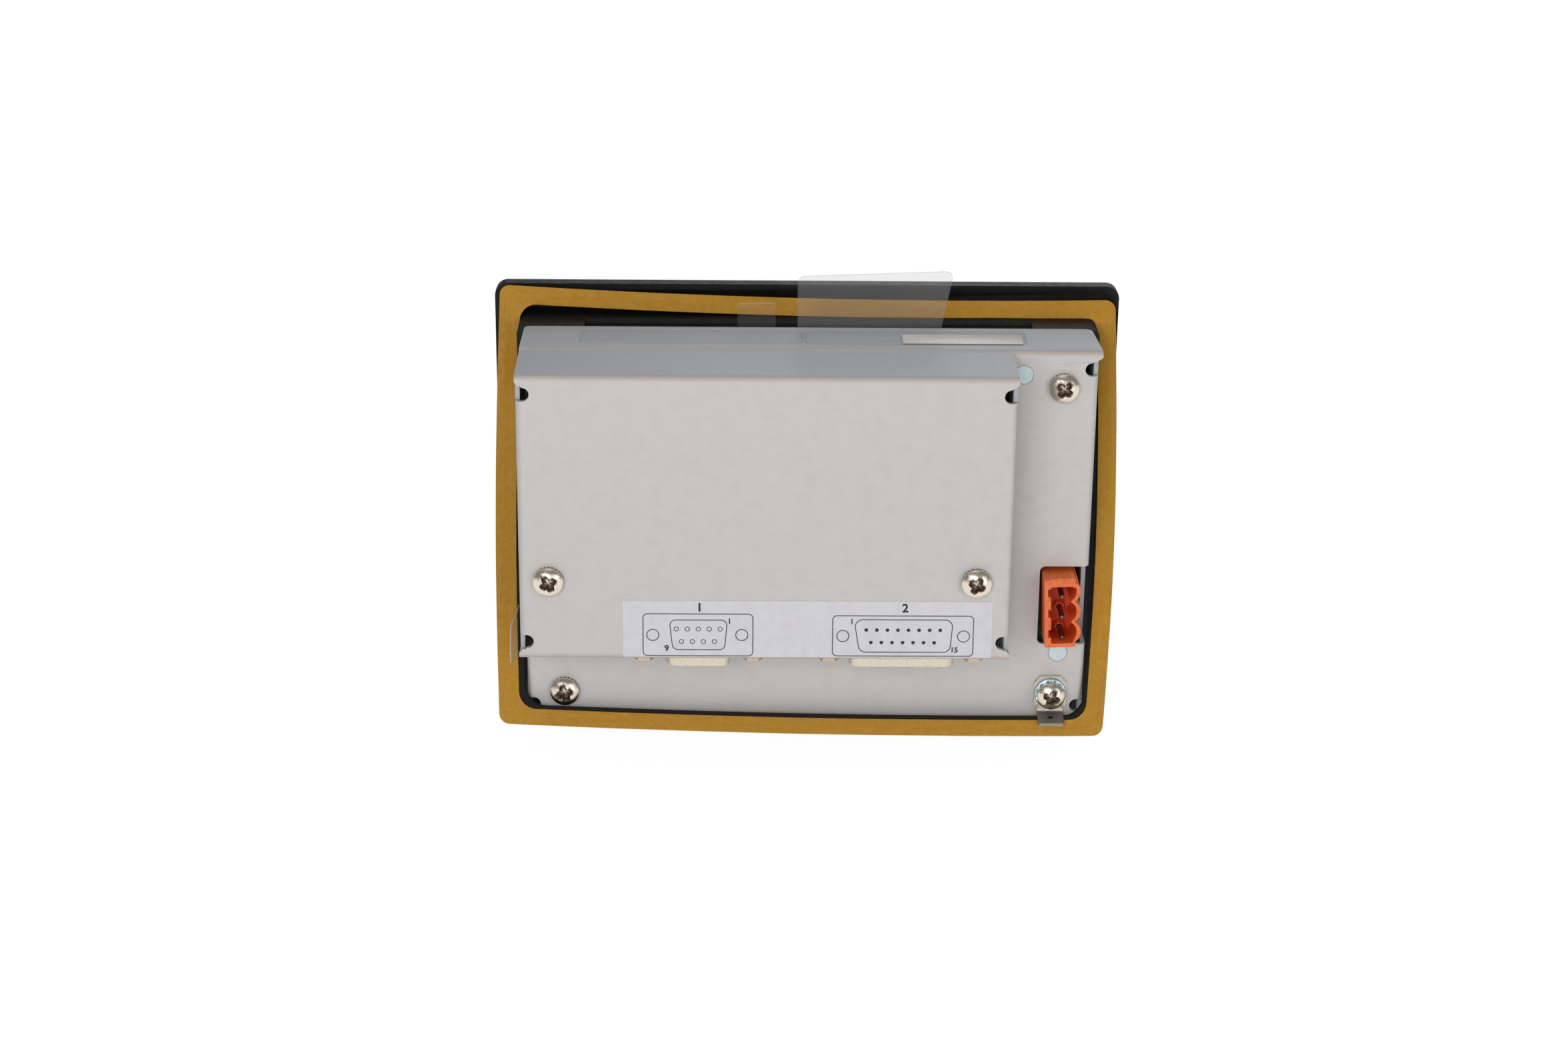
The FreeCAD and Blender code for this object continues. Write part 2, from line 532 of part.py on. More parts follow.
# ---------------------------------------------------------------- sheet metal covers
def open_box(name, left, right, low, high, front, back):
    """A sheet metal box open to the front, with bent rear edges."""
    block = box(name + "_block", (left, right), (front, back), (low, high))
    doc.recompute()
    rear = size_of(block).YMax
    rounded = doc.addObject("Part::Fillet", name + "_bends")
    rounded.Base = block
    edges = face_edges(block.Shape, lambda middle: abs(middle.y - rear) < 1e-6)
    rounded.Edges = [(int(edge[4:]), size("bend_radius"), size("bend_radius")) for edge in edges]
    inside = box(name + "_inside", (f"{left} + sheet_thickness", f"{right} - sheet_thickness"),
                 (f"{front} - 1", f"{back} - sheet_thickness"),
                 (f"{low} + sheet_thickness", f"{high} - sheet_thickness"))
    return cut(name + "_folded", rounded, [inside])


def size_of(feature):
    """The bounding box of a feature's shape."""
    return feature.Shape.BoundBox


def corner_reliefs(name, left, right, low, high, back):
    """Near each rear corner, a round-ended notch through the rear wall, open to the side."""
    tools = []
    for side, edge, turn in (("left", left, 1), ("right", right, -1)):
        for end, rim, rise in (("low", low, 1), ("high", high, -1)):
            x = f"{edge} + {turn} * (notch_depth - notch_radius)"
            z = f"{rim} + {rise} * notch_end"
            y = (f"{back} - bend_radius", f"{back} + 1")
            tools.append(rod(f"{name}_notch_{side}_{end}", "y", "notch_radius", y, (x, z)))
            mouth = (f"{edge} - 1", x) if turn > 0 else (x, f"{edge} + 1")
            tools.append(box(f"{name}_mouth_{side}_{end}", mouth, y,
                             (f"{z} - notch_radius", f"{z} + notch_radius")))
    return tools


def base_cover():
    """The wide cover that closes the housing, with openings for what passes through it."""
    walls = ("-cover_width / 2", "cover_width / 2", "-cover_drop", "collar_height / 2",
             "collar_depth", "cover_depth")
    folded = open_box("base_cover", *walls)
    tools = corner_reliefs("base_cover", *walls[:4], "cover_depth")
    rear = ("cover_inside", "cover_depth")
    tools += [rod(f"base_hole_{i}", "y", "screw_hole", rear, at)
              for i, at in enumerate(COVER_SCREWS + [GROUND_PLACE])]
    tools += [rod(f"clinch_hole_{i}", "y", "clinch_radius", rear, at)
              for i, at in enumerate(STANDOFFS)]
    tools.append(box("header_opening", ("-cover_width / 2 - 1", "header_x + header_width / 2 + header_margin"),
                     ("cover_depth - header_opening_depth", "cover_depth"),
                     ("header_middle - header_height / 2 - header_low_margin",
                      "header_middle + header_height / 2 + header_top_margin")))
    tools.append(centred_box("link_opening", "link_x", "link_width + 2 * link_margin", rear, "link_z",
                             "link_height + 2 * link_margin"))
    return node("base_cover", cut("base_cover", folded, tools))


def port_cover():
    """The raised cover over the interface board, open below for the two connectors."""
    walls = ("-port_left", "port_right", "-port_bottom", "port_top", "cover_depth", "port_depth")
    folded = open_box("port_cover", *walls)
    tools = corner_reliefs("port_cover", *walls[:4], "port_depth")
    tools += [rod(f"port_hole_{i}", "y", "screw_hole", ("port_inside", "port_depth"), at)
              for i, at in enumerate(POSTS)]
    for name, x, flange in (("nine", "nine_x", "nine_flange"),
                            ("fifteen", "fifteen_x", "fifteen_flange")):
        tools.append(centred_box(name + "_port", x, f"{flange} + 2 * fit_gap",
                                 ("cover_depth - 1", "port_inside"), "-port_bottom",
                                 "4 * sheet_thickness"))
    return node("port_cover", cut("port_cover", folded, tools))


# ---------------------------------------------------------------- boards and what they carry
def main_board():
    """The processor board, hung from the base cover on clinched standoffs."""
    y = ("main_board_front", "main_board_rear")
    blank = box("main_board_blank", ("-board_edge", "board_edge"), y, ("board_low", "board_top"))
    tools = []
    for side, x in (("left", "-board_edge"), ("right", "board_edge")):
        for end in ("board_low", "board_top"):
            tools.append(centred_box(f"corner_{side}_{end}", x, "2 * board_corner_cut", y, end,
                                     "2 * board_corner_cut"))
    tools += [rod(f"board_hole_{i}", "y", "shank_radius", y, at) for i, at in enumerate(STANDOFFS)]
    tools += header_pins("pin_hole", y, "pin_across + 0.2")
    node("main_board", cut("main_board", blank, tools))
    posts = []
    for i, at in enumerate(STANDOFFS):
        post = rod(f"clinch_{i}", "y", "clinch_radius", ("main_board_rear", "cover_depth"), at)
        bore = rod(f"clinch_bore_{i}", "y", "clinch_bore", ("main_board_rear", "main_board_rear + 4.5"), at)
        posts.append(cut(f"clinch_standoff_{i}", post, [bore]))
    node("clinch_standoffs", group("clinch_standoffs", posts))


CHIPS = ((0, 8, 20, 20, 1.8), (-30, 16, 18, 8, 1.4), (-30, 2, 18, 8, 1.4), (24, 24, 12, 8, 1.6),
         (-20, -20, 10, 7, 1.6))


def components():
    """What stands on the main board and joins it to the interface board."""
    front = "main_board_front"
    chips = [centred_box(f"chip_{i}", x, width, (f"{front} - {thick}", front), z, height)
             for i, (x, z, width, height, thick) in enumerate(CHIPS)]
    node("board_chips", group("board_chips", chips))
    cans = [rod(f"capacitor_{i}", "y", "4", (f"{front} - 11", front), (x, "-30"))
            for i, x in enumerate(("-40", "-30"))]
    node("smoothing_capacitors", group("smoothing_capacitors", cans))
    node("power_inductor", centred_box("power_inductor", "-50", "12", (f"{front} - 7", front),
                                       "-14", "12"))
    node("board_link", centred_box("board_link", "link_x", "link_width",
                                   ("main_board_rear", "interface_front"), "link_z", "link_height"))


def interface_boards():
    """The board inside the port cover and the insulating sheet under it."""
    span = ("interface_left", "interface_right")
    rise = ("interface_low", "interface_top")
    post_holes = [("board", "interface_front", "interface_rear"),
                  ("sheet", "cover_depth", "interface_front")]
    blanks = {"board": box("interface_blank", span, ("interface_front", "interface_rear"), rise),
              "sheet": box("insulator_blank", span, ("cover_depth", "interface_front"), rise)}
    for name, front, back in post_holes:
        tools = [rod(f"{name}_post_hole", "y", "post_across / 2 / cos(30) + fit_gap", (front, back),
                     POSTS[0])]
        if name == "sheet":
            tools.append(centred_box("sheet_link_opening", "link_x", "link_width + 2 * fit_gap",
                                     (front, back), "link_z", "link_height + 2 * fit_gap"))
        full_name = {"board": "interface_board", "sheet": "insulator_sheet"}[name]
        node(full_name, cut(full_name, blanks[name], tools))
    bars = []
    for i, at in enumerate(POSTS):
        bar = hexagon(f"post_bar_{i}", "y", "post_across", ("cover_depth", "port_inside"), at)
        bore = rod(f"post_bore_{i}", "y", "bore_radius", ("port_inside - bore_depth", "port_inside"), at)
        bars.append(cut(f"post_{i}", bar, [bore]))
    node("port_cover_posts", group("port_cover_posts", bars))


# ---------------------------------------------------------------- power header and ground
def header_pins(name, y, across):
    """Three square pins in a column, between the pair of texts y."""
    return [centred_box(f"{name}_{i}", "header_x", across, y, f"{i} * pin_pitch - header_z", across)
            for i in (-1, 0, 1)]


def power_header():
    """The three-pole header, open to the back, soldered on the main board."""
    y = ("main_board_rear", "main_board_rear + header_depth")
    block = centred_box("header_block", "header_x", "header_width", y, "header_middle", "header_height")
    well = centred_box("header_well", "header_x", "header_width - 2 * header_wall",
                       (f"{y[0]} + header_floor", f"{y[1]}"), "header_middle",
                       "header_height - 2 * header_wall")
    seats = header_pins("pin_seat", (y[0], f"{y[0]} + header_floor"), "pin_across")
    node("power_header", cut("power_header", block, [well] + seats))
    pins = header_pins("power_pin", ("main_board_front - 1.5", f"{y[1]} - pin_inset"), "pin_across")
    node("power_pins", group("power_pins", pins))


def ground_terminal():
    """A push-on tab bent out from the base cover, with a lock washer under its screw."""
    x, z = GROUND_PLACE
    flat = box("lug_flat", (f"{x} - lug_width / 2", f"{x} + lug_width / 2"),
               ("cover_depth", "lug_face"), (f"{z} - lug_bottom", f"{z} + lug_top"))
    tab = doc.addObject("Part::Box", "lug_tab")
    tab.Placement = Placement(Vector(), Rotation(Vector(-1, 0, 0), 90))
    bind(tab, {"Length": "tab_width", "Width": "lug_thickness", "Height": "tab_length",
               "Placement.Base.x": f"{x} - tab_width / 2",
               "Placement.Base.y": "lug_face",
               "Placement.Base.z": f"{z} - lug_bottom + lug_thickness",
               "Placement.Rotation.Angle": "180 - tab_angle"})
    hole = rod("lug_hole", "y", "screw_hole", ("cover_depth", "lug_face"), GROUND_PLACE)
    node("ground_lug", cut("ground_lug", fused("lug_solid", [flat, tab]), [hole]))
    ring = rod("washer_disc", "y", "washer_radius", ("lug_face", "washer_face"), GROUND_PLACE)
    bore = rod("washer_bore", "y", "screw_hole", ("lug_face", "washer_face"), GROUND_PLACE)
    node("ground_washer", cut("ground_washer", ring, [bore]))


# ---------------------------------------------------------------- D-subminiature connectors
def dsub_centre():
    """Depth of both connectors' axes, measured back from the port cover's rear face."""
    return size("port_depth") - size("dsub_inset")


def d_prism(x, width, height, corner, low, high, wide):
    """A D-shaped bar along Z whose wide side faces wide, which is 1 for +Y or -1 for -Y."""
    y = dsub_centre()
    half, step = width / 2, height * math.tan(math.radians(size("shell_slope")))
    outline = [(x - half, y + wide * height / 2), (x + half, y + wide * height / 2),
               (x + half - step, y - wide * height / 2), (x - half + step, y - wide * height / 2)]
    points = [Vector(a, b, low) for a, b in outline]
    bar = Part.Face(Part.makePolygon(points + points[:1])).extrude(Vector(0, 0, high - low))
    upright = [edge for edge in bar.Edges if abs(edge.Length - (high - low)) < 1e-6
               and edge.Vertexes[0].X == edge.Vertexes[1].X and edge.Vertexes[0].Y == edge.Vertexes[1].Y]
    return bar.makeFillet(corner, upright)


def feature(name, shape):
    """A sub-part whose shape is worked out here from the sheet."""
    part = doc.addObject("Part::Feature", name)
    part.Shape = shape
    return node(name, part)


def contact_places(x, count, wide):
    """The two contact rows of a connector, the longer one on its wide side."""
    rows = ((count // 2 + 1, wide), (count // 2, -wide))
    return [(x + (i - (number - 1) / 2) * size("contact_pitch"), dsub_centre() + side * size("contact_row") / 2)
            for number, side in rows for i in range(number)]


def dsub(name, x, count, flange, shell, jack_pitch, wide, male):
    """Shell with flange, moulded insert and contacts of one connector that faces down."""
    face, y = -size("dsub_face"), dsub_centre()
    wall, height = size("shell_wall"), size("shell_height")
    back = face + size("dsub_flange")
    tip = face - size("shell_reach")
    corner = size("shell_corner")
    plate_height = size("dsub_flange_height")
    plate = Part.makeBox(flange, plate_height, back - face, Vector(x - flange / 2, y - plate_height / 2, face))
    outer = d_prism(x, shell, height, corner, tip, face + wall, wide)
    inner = d_prism(x, shell - 2 * wall, height - 2 * wall, corner - wall, tip - 1, back + 1, wide)
    metal = plate.fuse(outer).cut(inner)
    for side in (-1, 1):
        hole = Part.makeCylinder(size("screw_hole"), back - face + 2,
                                 Vector(x + side * jack_pitch / 2, y, face - 1))
        metal = metal.cut(hole)
    feature(name + "_shell", metal.removeSplitter())

    board = size("cover_depth") + size("insulator_thickness") + size("board_thickness")
    depth = size("dsub_body_depth")
    block = Part.makeBox(shell + 1, y + plate_height / 2 - 1 - board, depth,
                         Vector(x - (shell + 1) / 2, board, back))
    reach = face - (size("insert_reach") if not male else 1.0)
    play = size("fit_gap") / 3
    nose = d_prism(x, shell - 2 * wall - 2 * play, height - 2 * wall - 2 * play, corner - wall - play,
                   reach, back + 0.5, wide)
    insert = block.fuse(nose)
    end = face - size("insert_reach") + (0.4 if not male else 0.0)
    pins = []
    for across, up in contact_places(x, count, wide):
        start = Vector(across, up, end)
        length = back + depth / 2 - end
        pins.append(Part.makeCylinder(size("contact_radius"), length, start))
        insert = insert.cut(Part.makeCylinder(size("contact_radius") + 0.05, length + 1,
                                              Vector(across, up, end - 1)))
    feature(name + "_insert", insert)
    feature(name + "_contacts", Part.makeCompound(pins))


def connectors():
    """Both connectors and the hexagonal jackscrews beside them."""
    dsub("port_1", size("nine_x"), 9, size("nine_flange"), size("nine_shell"), size("nine_jack_pitch"),
         -1, False)
    dsub("port_2", size("fifteen_x"), 15, size("fifteen_flange"), size("fifteen_shell"),
         size("fifteen_jack_pitch"), 1, True)
    jacks = []
    for port, pitch in (("nine", "nine_jack_pitch"), ("fifteen", "fifteen_jack_pitch")):
        for side in (-1, 1):
            at = (f"{port}_x + {side} * {pitch} / 2", "dsub_y")
            name = f"{port}_jack_{side + 1}"
            bar = hexagon(name + "_bar", "z", "jack_across", ("jack_tip", "-dsub_face"), at)
            stem = rod(name + "_stem", "z", "shank_radius", ("-dsub_face - 1", "-dsub_face + 4"), at)
            bore = rod(name + "_bore", "z", "jack_bore", ("jack_tip", "jack_tip + 4"), at)
            jacks.append(cut(name, fused(name + "_solid", [bar, stem]), [bore]))
    node("port_jackscrews", group("port_jackscrews", jacks))


# ---------------------------------------------------------------- strips, seal and labels
def legend_strips():
    """Printed film strips that slide into the front from the top and the side of the collar."""
    for name, x, width, reach in (("wide", "wide_strip_x", "wide_strip_width", "strip_out"),
                                  ("narrow", "narrow_strip_x", "narrow_strip_width",
                                   "narrow_strip_out")):
        strip = doc.addObject("Part::Box", f"legend_strip_{name}")
        strip.Placement = Placement(Vector(), Rotation(Vector(-1, 0, 0), 30))
        slope = "strip_thickness / cos(strip_lean) + strip_in * sin(strip_lean)"
        bind(strip, {"Length": width, "Width": "strip_thickness", "Height": f"strip_in + {reach}",
                     "Placement.Rotation.Angle": "strip_lean",
                     "Placement.Base.x": f"{x} - {width} / 2",
                     "Placement.Base.y": f"collar_depth - strip_setback - ({slope})",
                     "Placement.Base.z": "collar_height / 2 - strip_in * cos(strip_lean)"})
        node(f"legend_strip_{name}", strip)
    side = doc.addObject("Part::Box", "legend_strip_side")
    side.Placement = Placement(Vector(), Rotation(Vector(0, 0, 1), 30))
    bind(side, {"Length": "side_strip_in + side_strip_out", "Width": "strip_thickness",
                "Height": "side_strip_width", "Placement.Rotation.Angle": "side_strip_lean",
                "Placement.Base.x": "collar_width / 2 - strip_thickness - side_strip_in * cos(side_strip_lean)",
                "Placement.Base.y": "collar_depth - side_strip_in * sin(side_strip_lean)",
                "Placement.Base.z": "side_strip_z - side_strip_width / 2"})
    node("legend_strip_side", side)


def seal_frame(name, front, back):
    """A rounded frame between the texts front and back of its thickness, tilted over the back."""
    body = doc.addObject("PartDesign::Body", name)
    drop = ("0", "-seal_inner_height / 2")
    rounded_pad(body, name + "_outside", "seal_width", "seal_height", "seal_corner", (front, back), drop)
    rounded_pocket(body, name + "_inside", "seal_inner_width", "seal_inner_height",
                   "seal_corner", (f"{front} - 1", back), drop)
    body.Placement = Placement(Vector(), Rotation(Vector(1, 0, 0), 10))
    bind(body, {"Placement.Rotation.Angle": "seal_tilt", "Placement.Base.y": "seal_y",
                "Placement.Base.z": "seal_hinge_z"})
    return node(name, body)


def seal_and_labels():
    """The loose foam seal with its release paper, and the labels on the covers."""
    seal_frame("seal_foam", "0", "seal_thickness")
    seal_frame("seal_liner", "seal_thickness", "seal_thickness + liner_thickness")
    top = "collar_height / 2"
    node("rating_label", box("rating_label", ("-rating_label_width / 2", "rating_label_width / 2"),
                             ("rating_label_y - rating_label_length / 2",
                              "rating_label_y + rating_label_length / 2"),
                             (top, f"{top} + label_thickness")))
    node("blank_sticker", box("blank_sticker", ("sticker_x - sticker_width / 2",
                                                "sticker_x + sticker_width / 2"),
                              ("rating_label_y + rating_label_length / 2 - sticker_length",
                               "rating_label_y + rating_label_length / 2"),
                              (f"{top} + label_thickness", f"{top} + 2 * label_thickness")))
    node("port_label", centred_box("port_label", "port_label_x", "port_label_width",
                                   ("port_depth", "port_depth + label_thickness"), "port_label_z",
                                   "port_label_height"))


# ---------------------------------------------------------------- build and write
front_housing()
overlay_and_windows()
keypad()
display()
base_cover()
port_cover()
screws()
main_board()
components()
interface_boards()
power_header()
ground_terminal()
connectors()
legend_strips()
seal_and_labels()
doc.recompute()

for item in doc.Objects:
    if {"Invalid", "Error"} & set(item.State):
        raise ValueError(f"{item.Name} failed: {item.getStatusString()}")
os.makedirs("parts", exist_ok=True)
for item in NODES:
    if item.Shape.isNull() or not item.Shape.isValid():
        raise ValueError(item.Label + " has no valid shape")
    item.Shape.exportStep(f"parts/{item.Label}.step")
    print(f"{item.Label:24s} {len(item.Shape.Solids)} solids {item.Shape.Volume:10.1f} mm3")
print(len(NODES), "nodes")
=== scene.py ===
"""HMI touch panel: the looks of an operator terminal, seen from behind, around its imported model.

The display faces -Y and the back faces +Y, with +Z up, and the bezel's rear seat plane is y = 0.
Shapes are worked out in millimetres, and make_piece turns them to the frame's metres.
"""
import json
import math

import bmesh
import bpy
import numpy as np
from mathutils import Matrix, Vector
from mathutils.geometry import delaunay_2d_cdt

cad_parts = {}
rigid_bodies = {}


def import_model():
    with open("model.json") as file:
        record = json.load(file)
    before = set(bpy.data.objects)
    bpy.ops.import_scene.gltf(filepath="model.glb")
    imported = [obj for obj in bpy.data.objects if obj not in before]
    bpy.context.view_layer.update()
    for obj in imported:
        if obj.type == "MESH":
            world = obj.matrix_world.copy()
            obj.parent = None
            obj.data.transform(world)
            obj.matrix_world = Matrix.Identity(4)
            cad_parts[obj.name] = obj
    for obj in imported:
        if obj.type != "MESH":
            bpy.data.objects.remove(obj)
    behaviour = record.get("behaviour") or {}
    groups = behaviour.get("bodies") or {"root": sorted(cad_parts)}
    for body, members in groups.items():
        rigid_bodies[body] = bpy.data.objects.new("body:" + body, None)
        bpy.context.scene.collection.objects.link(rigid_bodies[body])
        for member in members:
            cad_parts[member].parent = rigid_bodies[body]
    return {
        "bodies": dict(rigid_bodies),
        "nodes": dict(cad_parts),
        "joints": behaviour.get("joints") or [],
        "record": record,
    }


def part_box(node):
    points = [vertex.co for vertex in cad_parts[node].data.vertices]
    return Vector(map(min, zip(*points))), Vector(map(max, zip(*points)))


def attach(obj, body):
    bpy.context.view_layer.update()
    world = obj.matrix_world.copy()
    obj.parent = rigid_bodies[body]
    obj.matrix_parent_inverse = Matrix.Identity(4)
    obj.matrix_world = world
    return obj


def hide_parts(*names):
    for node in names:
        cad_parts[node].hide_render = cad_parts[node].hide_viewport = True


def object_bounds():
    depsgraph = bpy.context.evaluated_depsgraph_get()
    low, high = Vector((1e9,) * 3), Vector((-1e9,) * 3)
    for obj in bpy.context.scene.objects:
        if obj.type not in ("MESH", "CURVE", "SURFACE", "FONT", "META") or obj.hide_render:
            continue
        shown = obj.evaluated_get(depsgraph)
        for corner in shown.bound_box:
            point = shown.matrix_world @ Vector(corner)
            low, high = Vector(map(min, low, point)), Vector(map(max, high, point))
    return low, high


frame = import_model()
CAD_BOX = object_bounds()
MM = 0.001
FIGURE_SHARE = 0.7                 # height of the default font's figures, as a share of its size


def span(node):
    """Lowest and highest corner of a node's box, in millimetres."""
    low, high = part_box(node)
    return np.array(low) / MM, np.array(high) / MM


def middle_of(node):
    """The middle of a node's box across and up, in millimetres."""
    low, high = span(node)
    return (low + high)[[0, 2]] / 2


# ---------------------------------------------------------------- meshes from arrays
def make_piece(name, shapes, material, body="case", stands_for=(), smooth=40,
               uv=None, weight=None, recalculate=True):
    """One mesh object from (points, faces) shapes in millimetres, riding on a body.

    uv is one (u, v) row for each point, and weight holds one value for each point under each name.
    """
    shapes = [shapes] if isinstance(shapes, tuple) else shapes
    points = np.concatenate([np.asarray(p, float) for p, _ in shapes])
    starts = np.cumsum([0] + [len(p) for p, _ in shapes[:-1]])
    faces = [row for start, (_, f) in zip(starts, shapes) for row in (np.asarray(f) + start).tolist()]
    mesh = bpy.data.meshes.new(name)
    mesh.from_pydata((points * MM).tolist(), [], faces)
    for label, values in (weight or {}).items():
        mesh.attributes.new(label, "FLOAT", "POINT").data.foreach_set("value", values.astype(np.float32))
    if uv is not None:
        corner = np.empty(len(mesh.loops), np.int32)
        mesh.loops.foreach_get("vertex_index", corner)
        layer = mesh.uv_layers.new(name="place")
        layer.data.foreach_set("uv", np.asarray(uv, np.float32)[corner].ravel())
    if recalculate:
        shell = bmesh.new()
        shell.from_mesh(mesh)
        bmesh.ops.remove_doubles(shell, verts=shell.verts, dist=2e-6)
        bmesh.ops.recalc_face_normals(shell, faces=shell.faces)
        shell.to_mesh(mesh)
        shell.free()
    mesh.shade_smooth()
    mesh.set_sharp_from_angle(angle=math.radians(smooth))
    made = bpy.data.objects.new(name, mesh)
    bpy.context.scene.collection.objects.link(made)
    mesh.materials.append(material)
    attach(made, body)
    if stands_for:
        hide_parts(*stands_for)
    return made


def grid(points, wrap_rows=False, wrap_columns=False):
    """Quads over a rows x columns array of points, closed on itself where a direction wraps."""
    rows, columns = points.shape[:2]
    index = np.arange(rows * columns).reshape(rows, columns)
    if wrap_rows:
        index = np.vstack([index, index[:1]])
    if wrap_columns:
        index = np.hstack([index, index[:, :1]])
    quads = np.stack([index[:-1, :-1], index[:-1, 1:], index[1:, 1:], index[1:, :-1]], axis=-1)
    return points.reshape(-1, points.shape[-1]), quads.reshape(-1, 4)


def arc(centre, radius, start, end, steps=8):
    """Points of a circular arc in the plane, from one angle to another in degrees."""
    turn = np.radians(np.linspace(start, end, steps + 1))
    return np.stack([centre[0] + radius * np.cos(turn), centre[1] + radius * np.sin(turn)], axis=1)


def rounded(corners, radii, steps=6):
    """A closed outline whose corners are arcs tangent to both sides, each with its own radius."""
    corners = np.asarray(corners, float)
    radii = np.broadcast_to(radii, len(corners))
    outline = []
    for before, corner, after, radius in zip(np.roll(corners, 1, 0), corners,
                                             np.roll(corners, -1, 0), radii):
        if radius <= 0:
            outline.append(corner[None])
            continue
        inward = (before - corner) / np.linalg.norm(before - corner)
        onward = (after - corner) / np.linalg.norm(after - corner)
        half = math.acos(np.clip(inward @ onward, -1, 1)) / 2
        centre = corner + (inward + onward) / np.linalg.norm(inward + onward) * radius / math.sin(half)
        first = corner + inward * radius / math.tan(half) - centre
        last = corner + onward * radius / math.tan(half) - centre
        turn = math.atan2(first[0] * last[1] - first[1] * last[0], first @ last)
        at = np.linspace(0, turn, steps + 1)[:, None]
        side = np.array([-first[1], first[0]])
        outline.append(centre + np.cos(at) * first + np.sin(at) * side)
    return np.concatenate(outline)


def rectangle(x, z, width, height, radius=0.0, steps=6):
    """A rounded rectangle's outline about a centre."""
    half = np.array([[-1, -1], [1, -1], [1, 1], [-1, 1]]) * (width / 2, height / 2)
    return rounded(half + (x, z), radius, steps)


def circle(x, z, radius, steps=32):
    """A circle's outline about a centre."""
    return arc((x, z), radius, 0, 360, steps)[:-1]


def inside(points, outline):
    """Whether each point lies within a closed outline, by counting the sides that a ray crosses."""
    a, b = outline[None], np.roll(outline, -1, 0)[None]
    x, z = points[:, 0:1], points[:, 1:2]
    rise = np.where(np.abs(b[..., 1] - a[..., 1]) < 1e-12, 1e-12, b[..., 1] - a[..., 1])
    crossing = a[..., 0] + (z - a[..., 1]) * (b[..., 0] - a[..., 0]) / rise
    return (((a[..., 1] > z) != (b[..., 1] > z)) & (x < crossing)).sum(1) % 2 == 1


def blank(outline, holes=(), lines=()):
    """Triangles of a flat shape with holes: a constrained Delaunay net of its edges and of extra
    lines, without the triangles whose centres fall outside the outline or within a hole."""
    loops = [np.asarray(outline)] + [np.asarray(h) for h in holes]
    points, edges, start = [], [], 0
    for loop in loops:
        index = np.arange(len(loop)) + start
        edges.append(np.stack([index, np.roll(index, -1)], axis=1))
        points.append(loop)
        start += len(loop)
    for line in lines:
        points.append(np.asarray(line, float))
        edges.append([[start, start + 1]])
        start += 2
    flat, _, faces, _, _, _ = delaunay_2d_cdt([Vector(p) for p in np.concatenate(points)],
                                              np.concatenate(edges).tolist(), [], 0, 1e-5)
    flat = np.array([tuple(p) for p in flat])
    faces = np.array(faces)
    centres = flat[faces].mean(1)
    keep = inside(centres, loops[0])
    for hole in loops[1:]:
        keep &= ~inside(centres, hole)
    return flat, faces[keep]


def upright(path, y):
    """Points of the x-z plane placed in space at a depth y."""
    return np.stack([path[:, 0], np.full(len(path), y), path[:, 1]], axis=1)


def wall(outline, depths):
    """A wall along a closed outline, through rows at the given depths."""
    return grid(np.stack([upright(outline, y) for y in depths]), wrap_columns=True)


def plate(outline, front, back):
    """A flat plate in the x-z plane between two depths: its net twice, and a wall round its edge."""
    flat, faces = blank(outline)
    return [(upright(flat, front), faces), (upright(flat, back), faces[:, ::-1]),
            wall(outline, (front, back))]


def turned(profile, x, z, steps=48):
    """A surface of revolution about a Y axis at x, z, from (radius, y) rows."""
    turn = np.linspace(0, 2 * np.pi, steps, endpoint=False)
    profile = np.asarray(profile, float)
    points = np.stack([x + profile[:, :1] * np.cos(turn), np.repeat(profile[:, 1:], steps, 1),
                       z + profile[:, :1] * np.sin(turn)], axis=-1)
    return grid(points, wrap_columns=True)


def figures(text, height, x, z, rear=True):
    """The default font's figures as flat triangles, read from the rear or the front, about x, z."""
    curve = bpy.data.curves.new("figures", "FONT")
    curve.body, curve.size, curve.align_x, curve.align_y = text, 1.0, "CENTER", "CENTER"
    curve.resolution_u, curve.offset = 4, 0.03
    carrier = bpy.data.objects.new("figures", curve)
    bpy.context.scene.collection.objects.link(carrier)
    mesh = bpy.data.meshes.new_from_object(carrier.evaluated_get(bpy.context.evaluated_depsgraph_get()))
    points = np.empty(len(mesh.vertices) * 3)
    mesh.vertices.foreach_get("co", points)
    mesh.calc_loop_triangles()
    faces = np.empty(len(mesh.loop_triangles) * 3, np.int32)
    mesh.loop_triangles.foreach_get("vertices", faces)
    bpy.data.objects.remove(carrier)
    scale = height / FIGURE_SHARE
    across = -scale if rear else scale
    return points.reshape(-1, 3)[:, :2] * (across, scale) + (x, z), faces.reshape(-1, 3)


def solidify(made, thickness, offset=-1.0):
    """Give a sheet its real thickness in millimetres, inwards from its face."""
    sheet = made.modifiers.new("thickness", "SOLIDIFY")
    sheet.thickness, sheet.offset, sheet.use_even_offset = thickness * MM, offset, True
    return sheet


def ease(made, width, angle=35):
    """Break a piece's edges that are sharper than an angle, by a small width in millimetres."""
    edge = made.modifiers.new("broken edges", "BEVEL")
    edge.width, edge.segments, edge.limit_method = width * MM, 2, "ANGLE"
    edge.angle_limit, edge.harden_normals = math.radians(angle), False
    edge.miter_outer = "MITER_ARC"


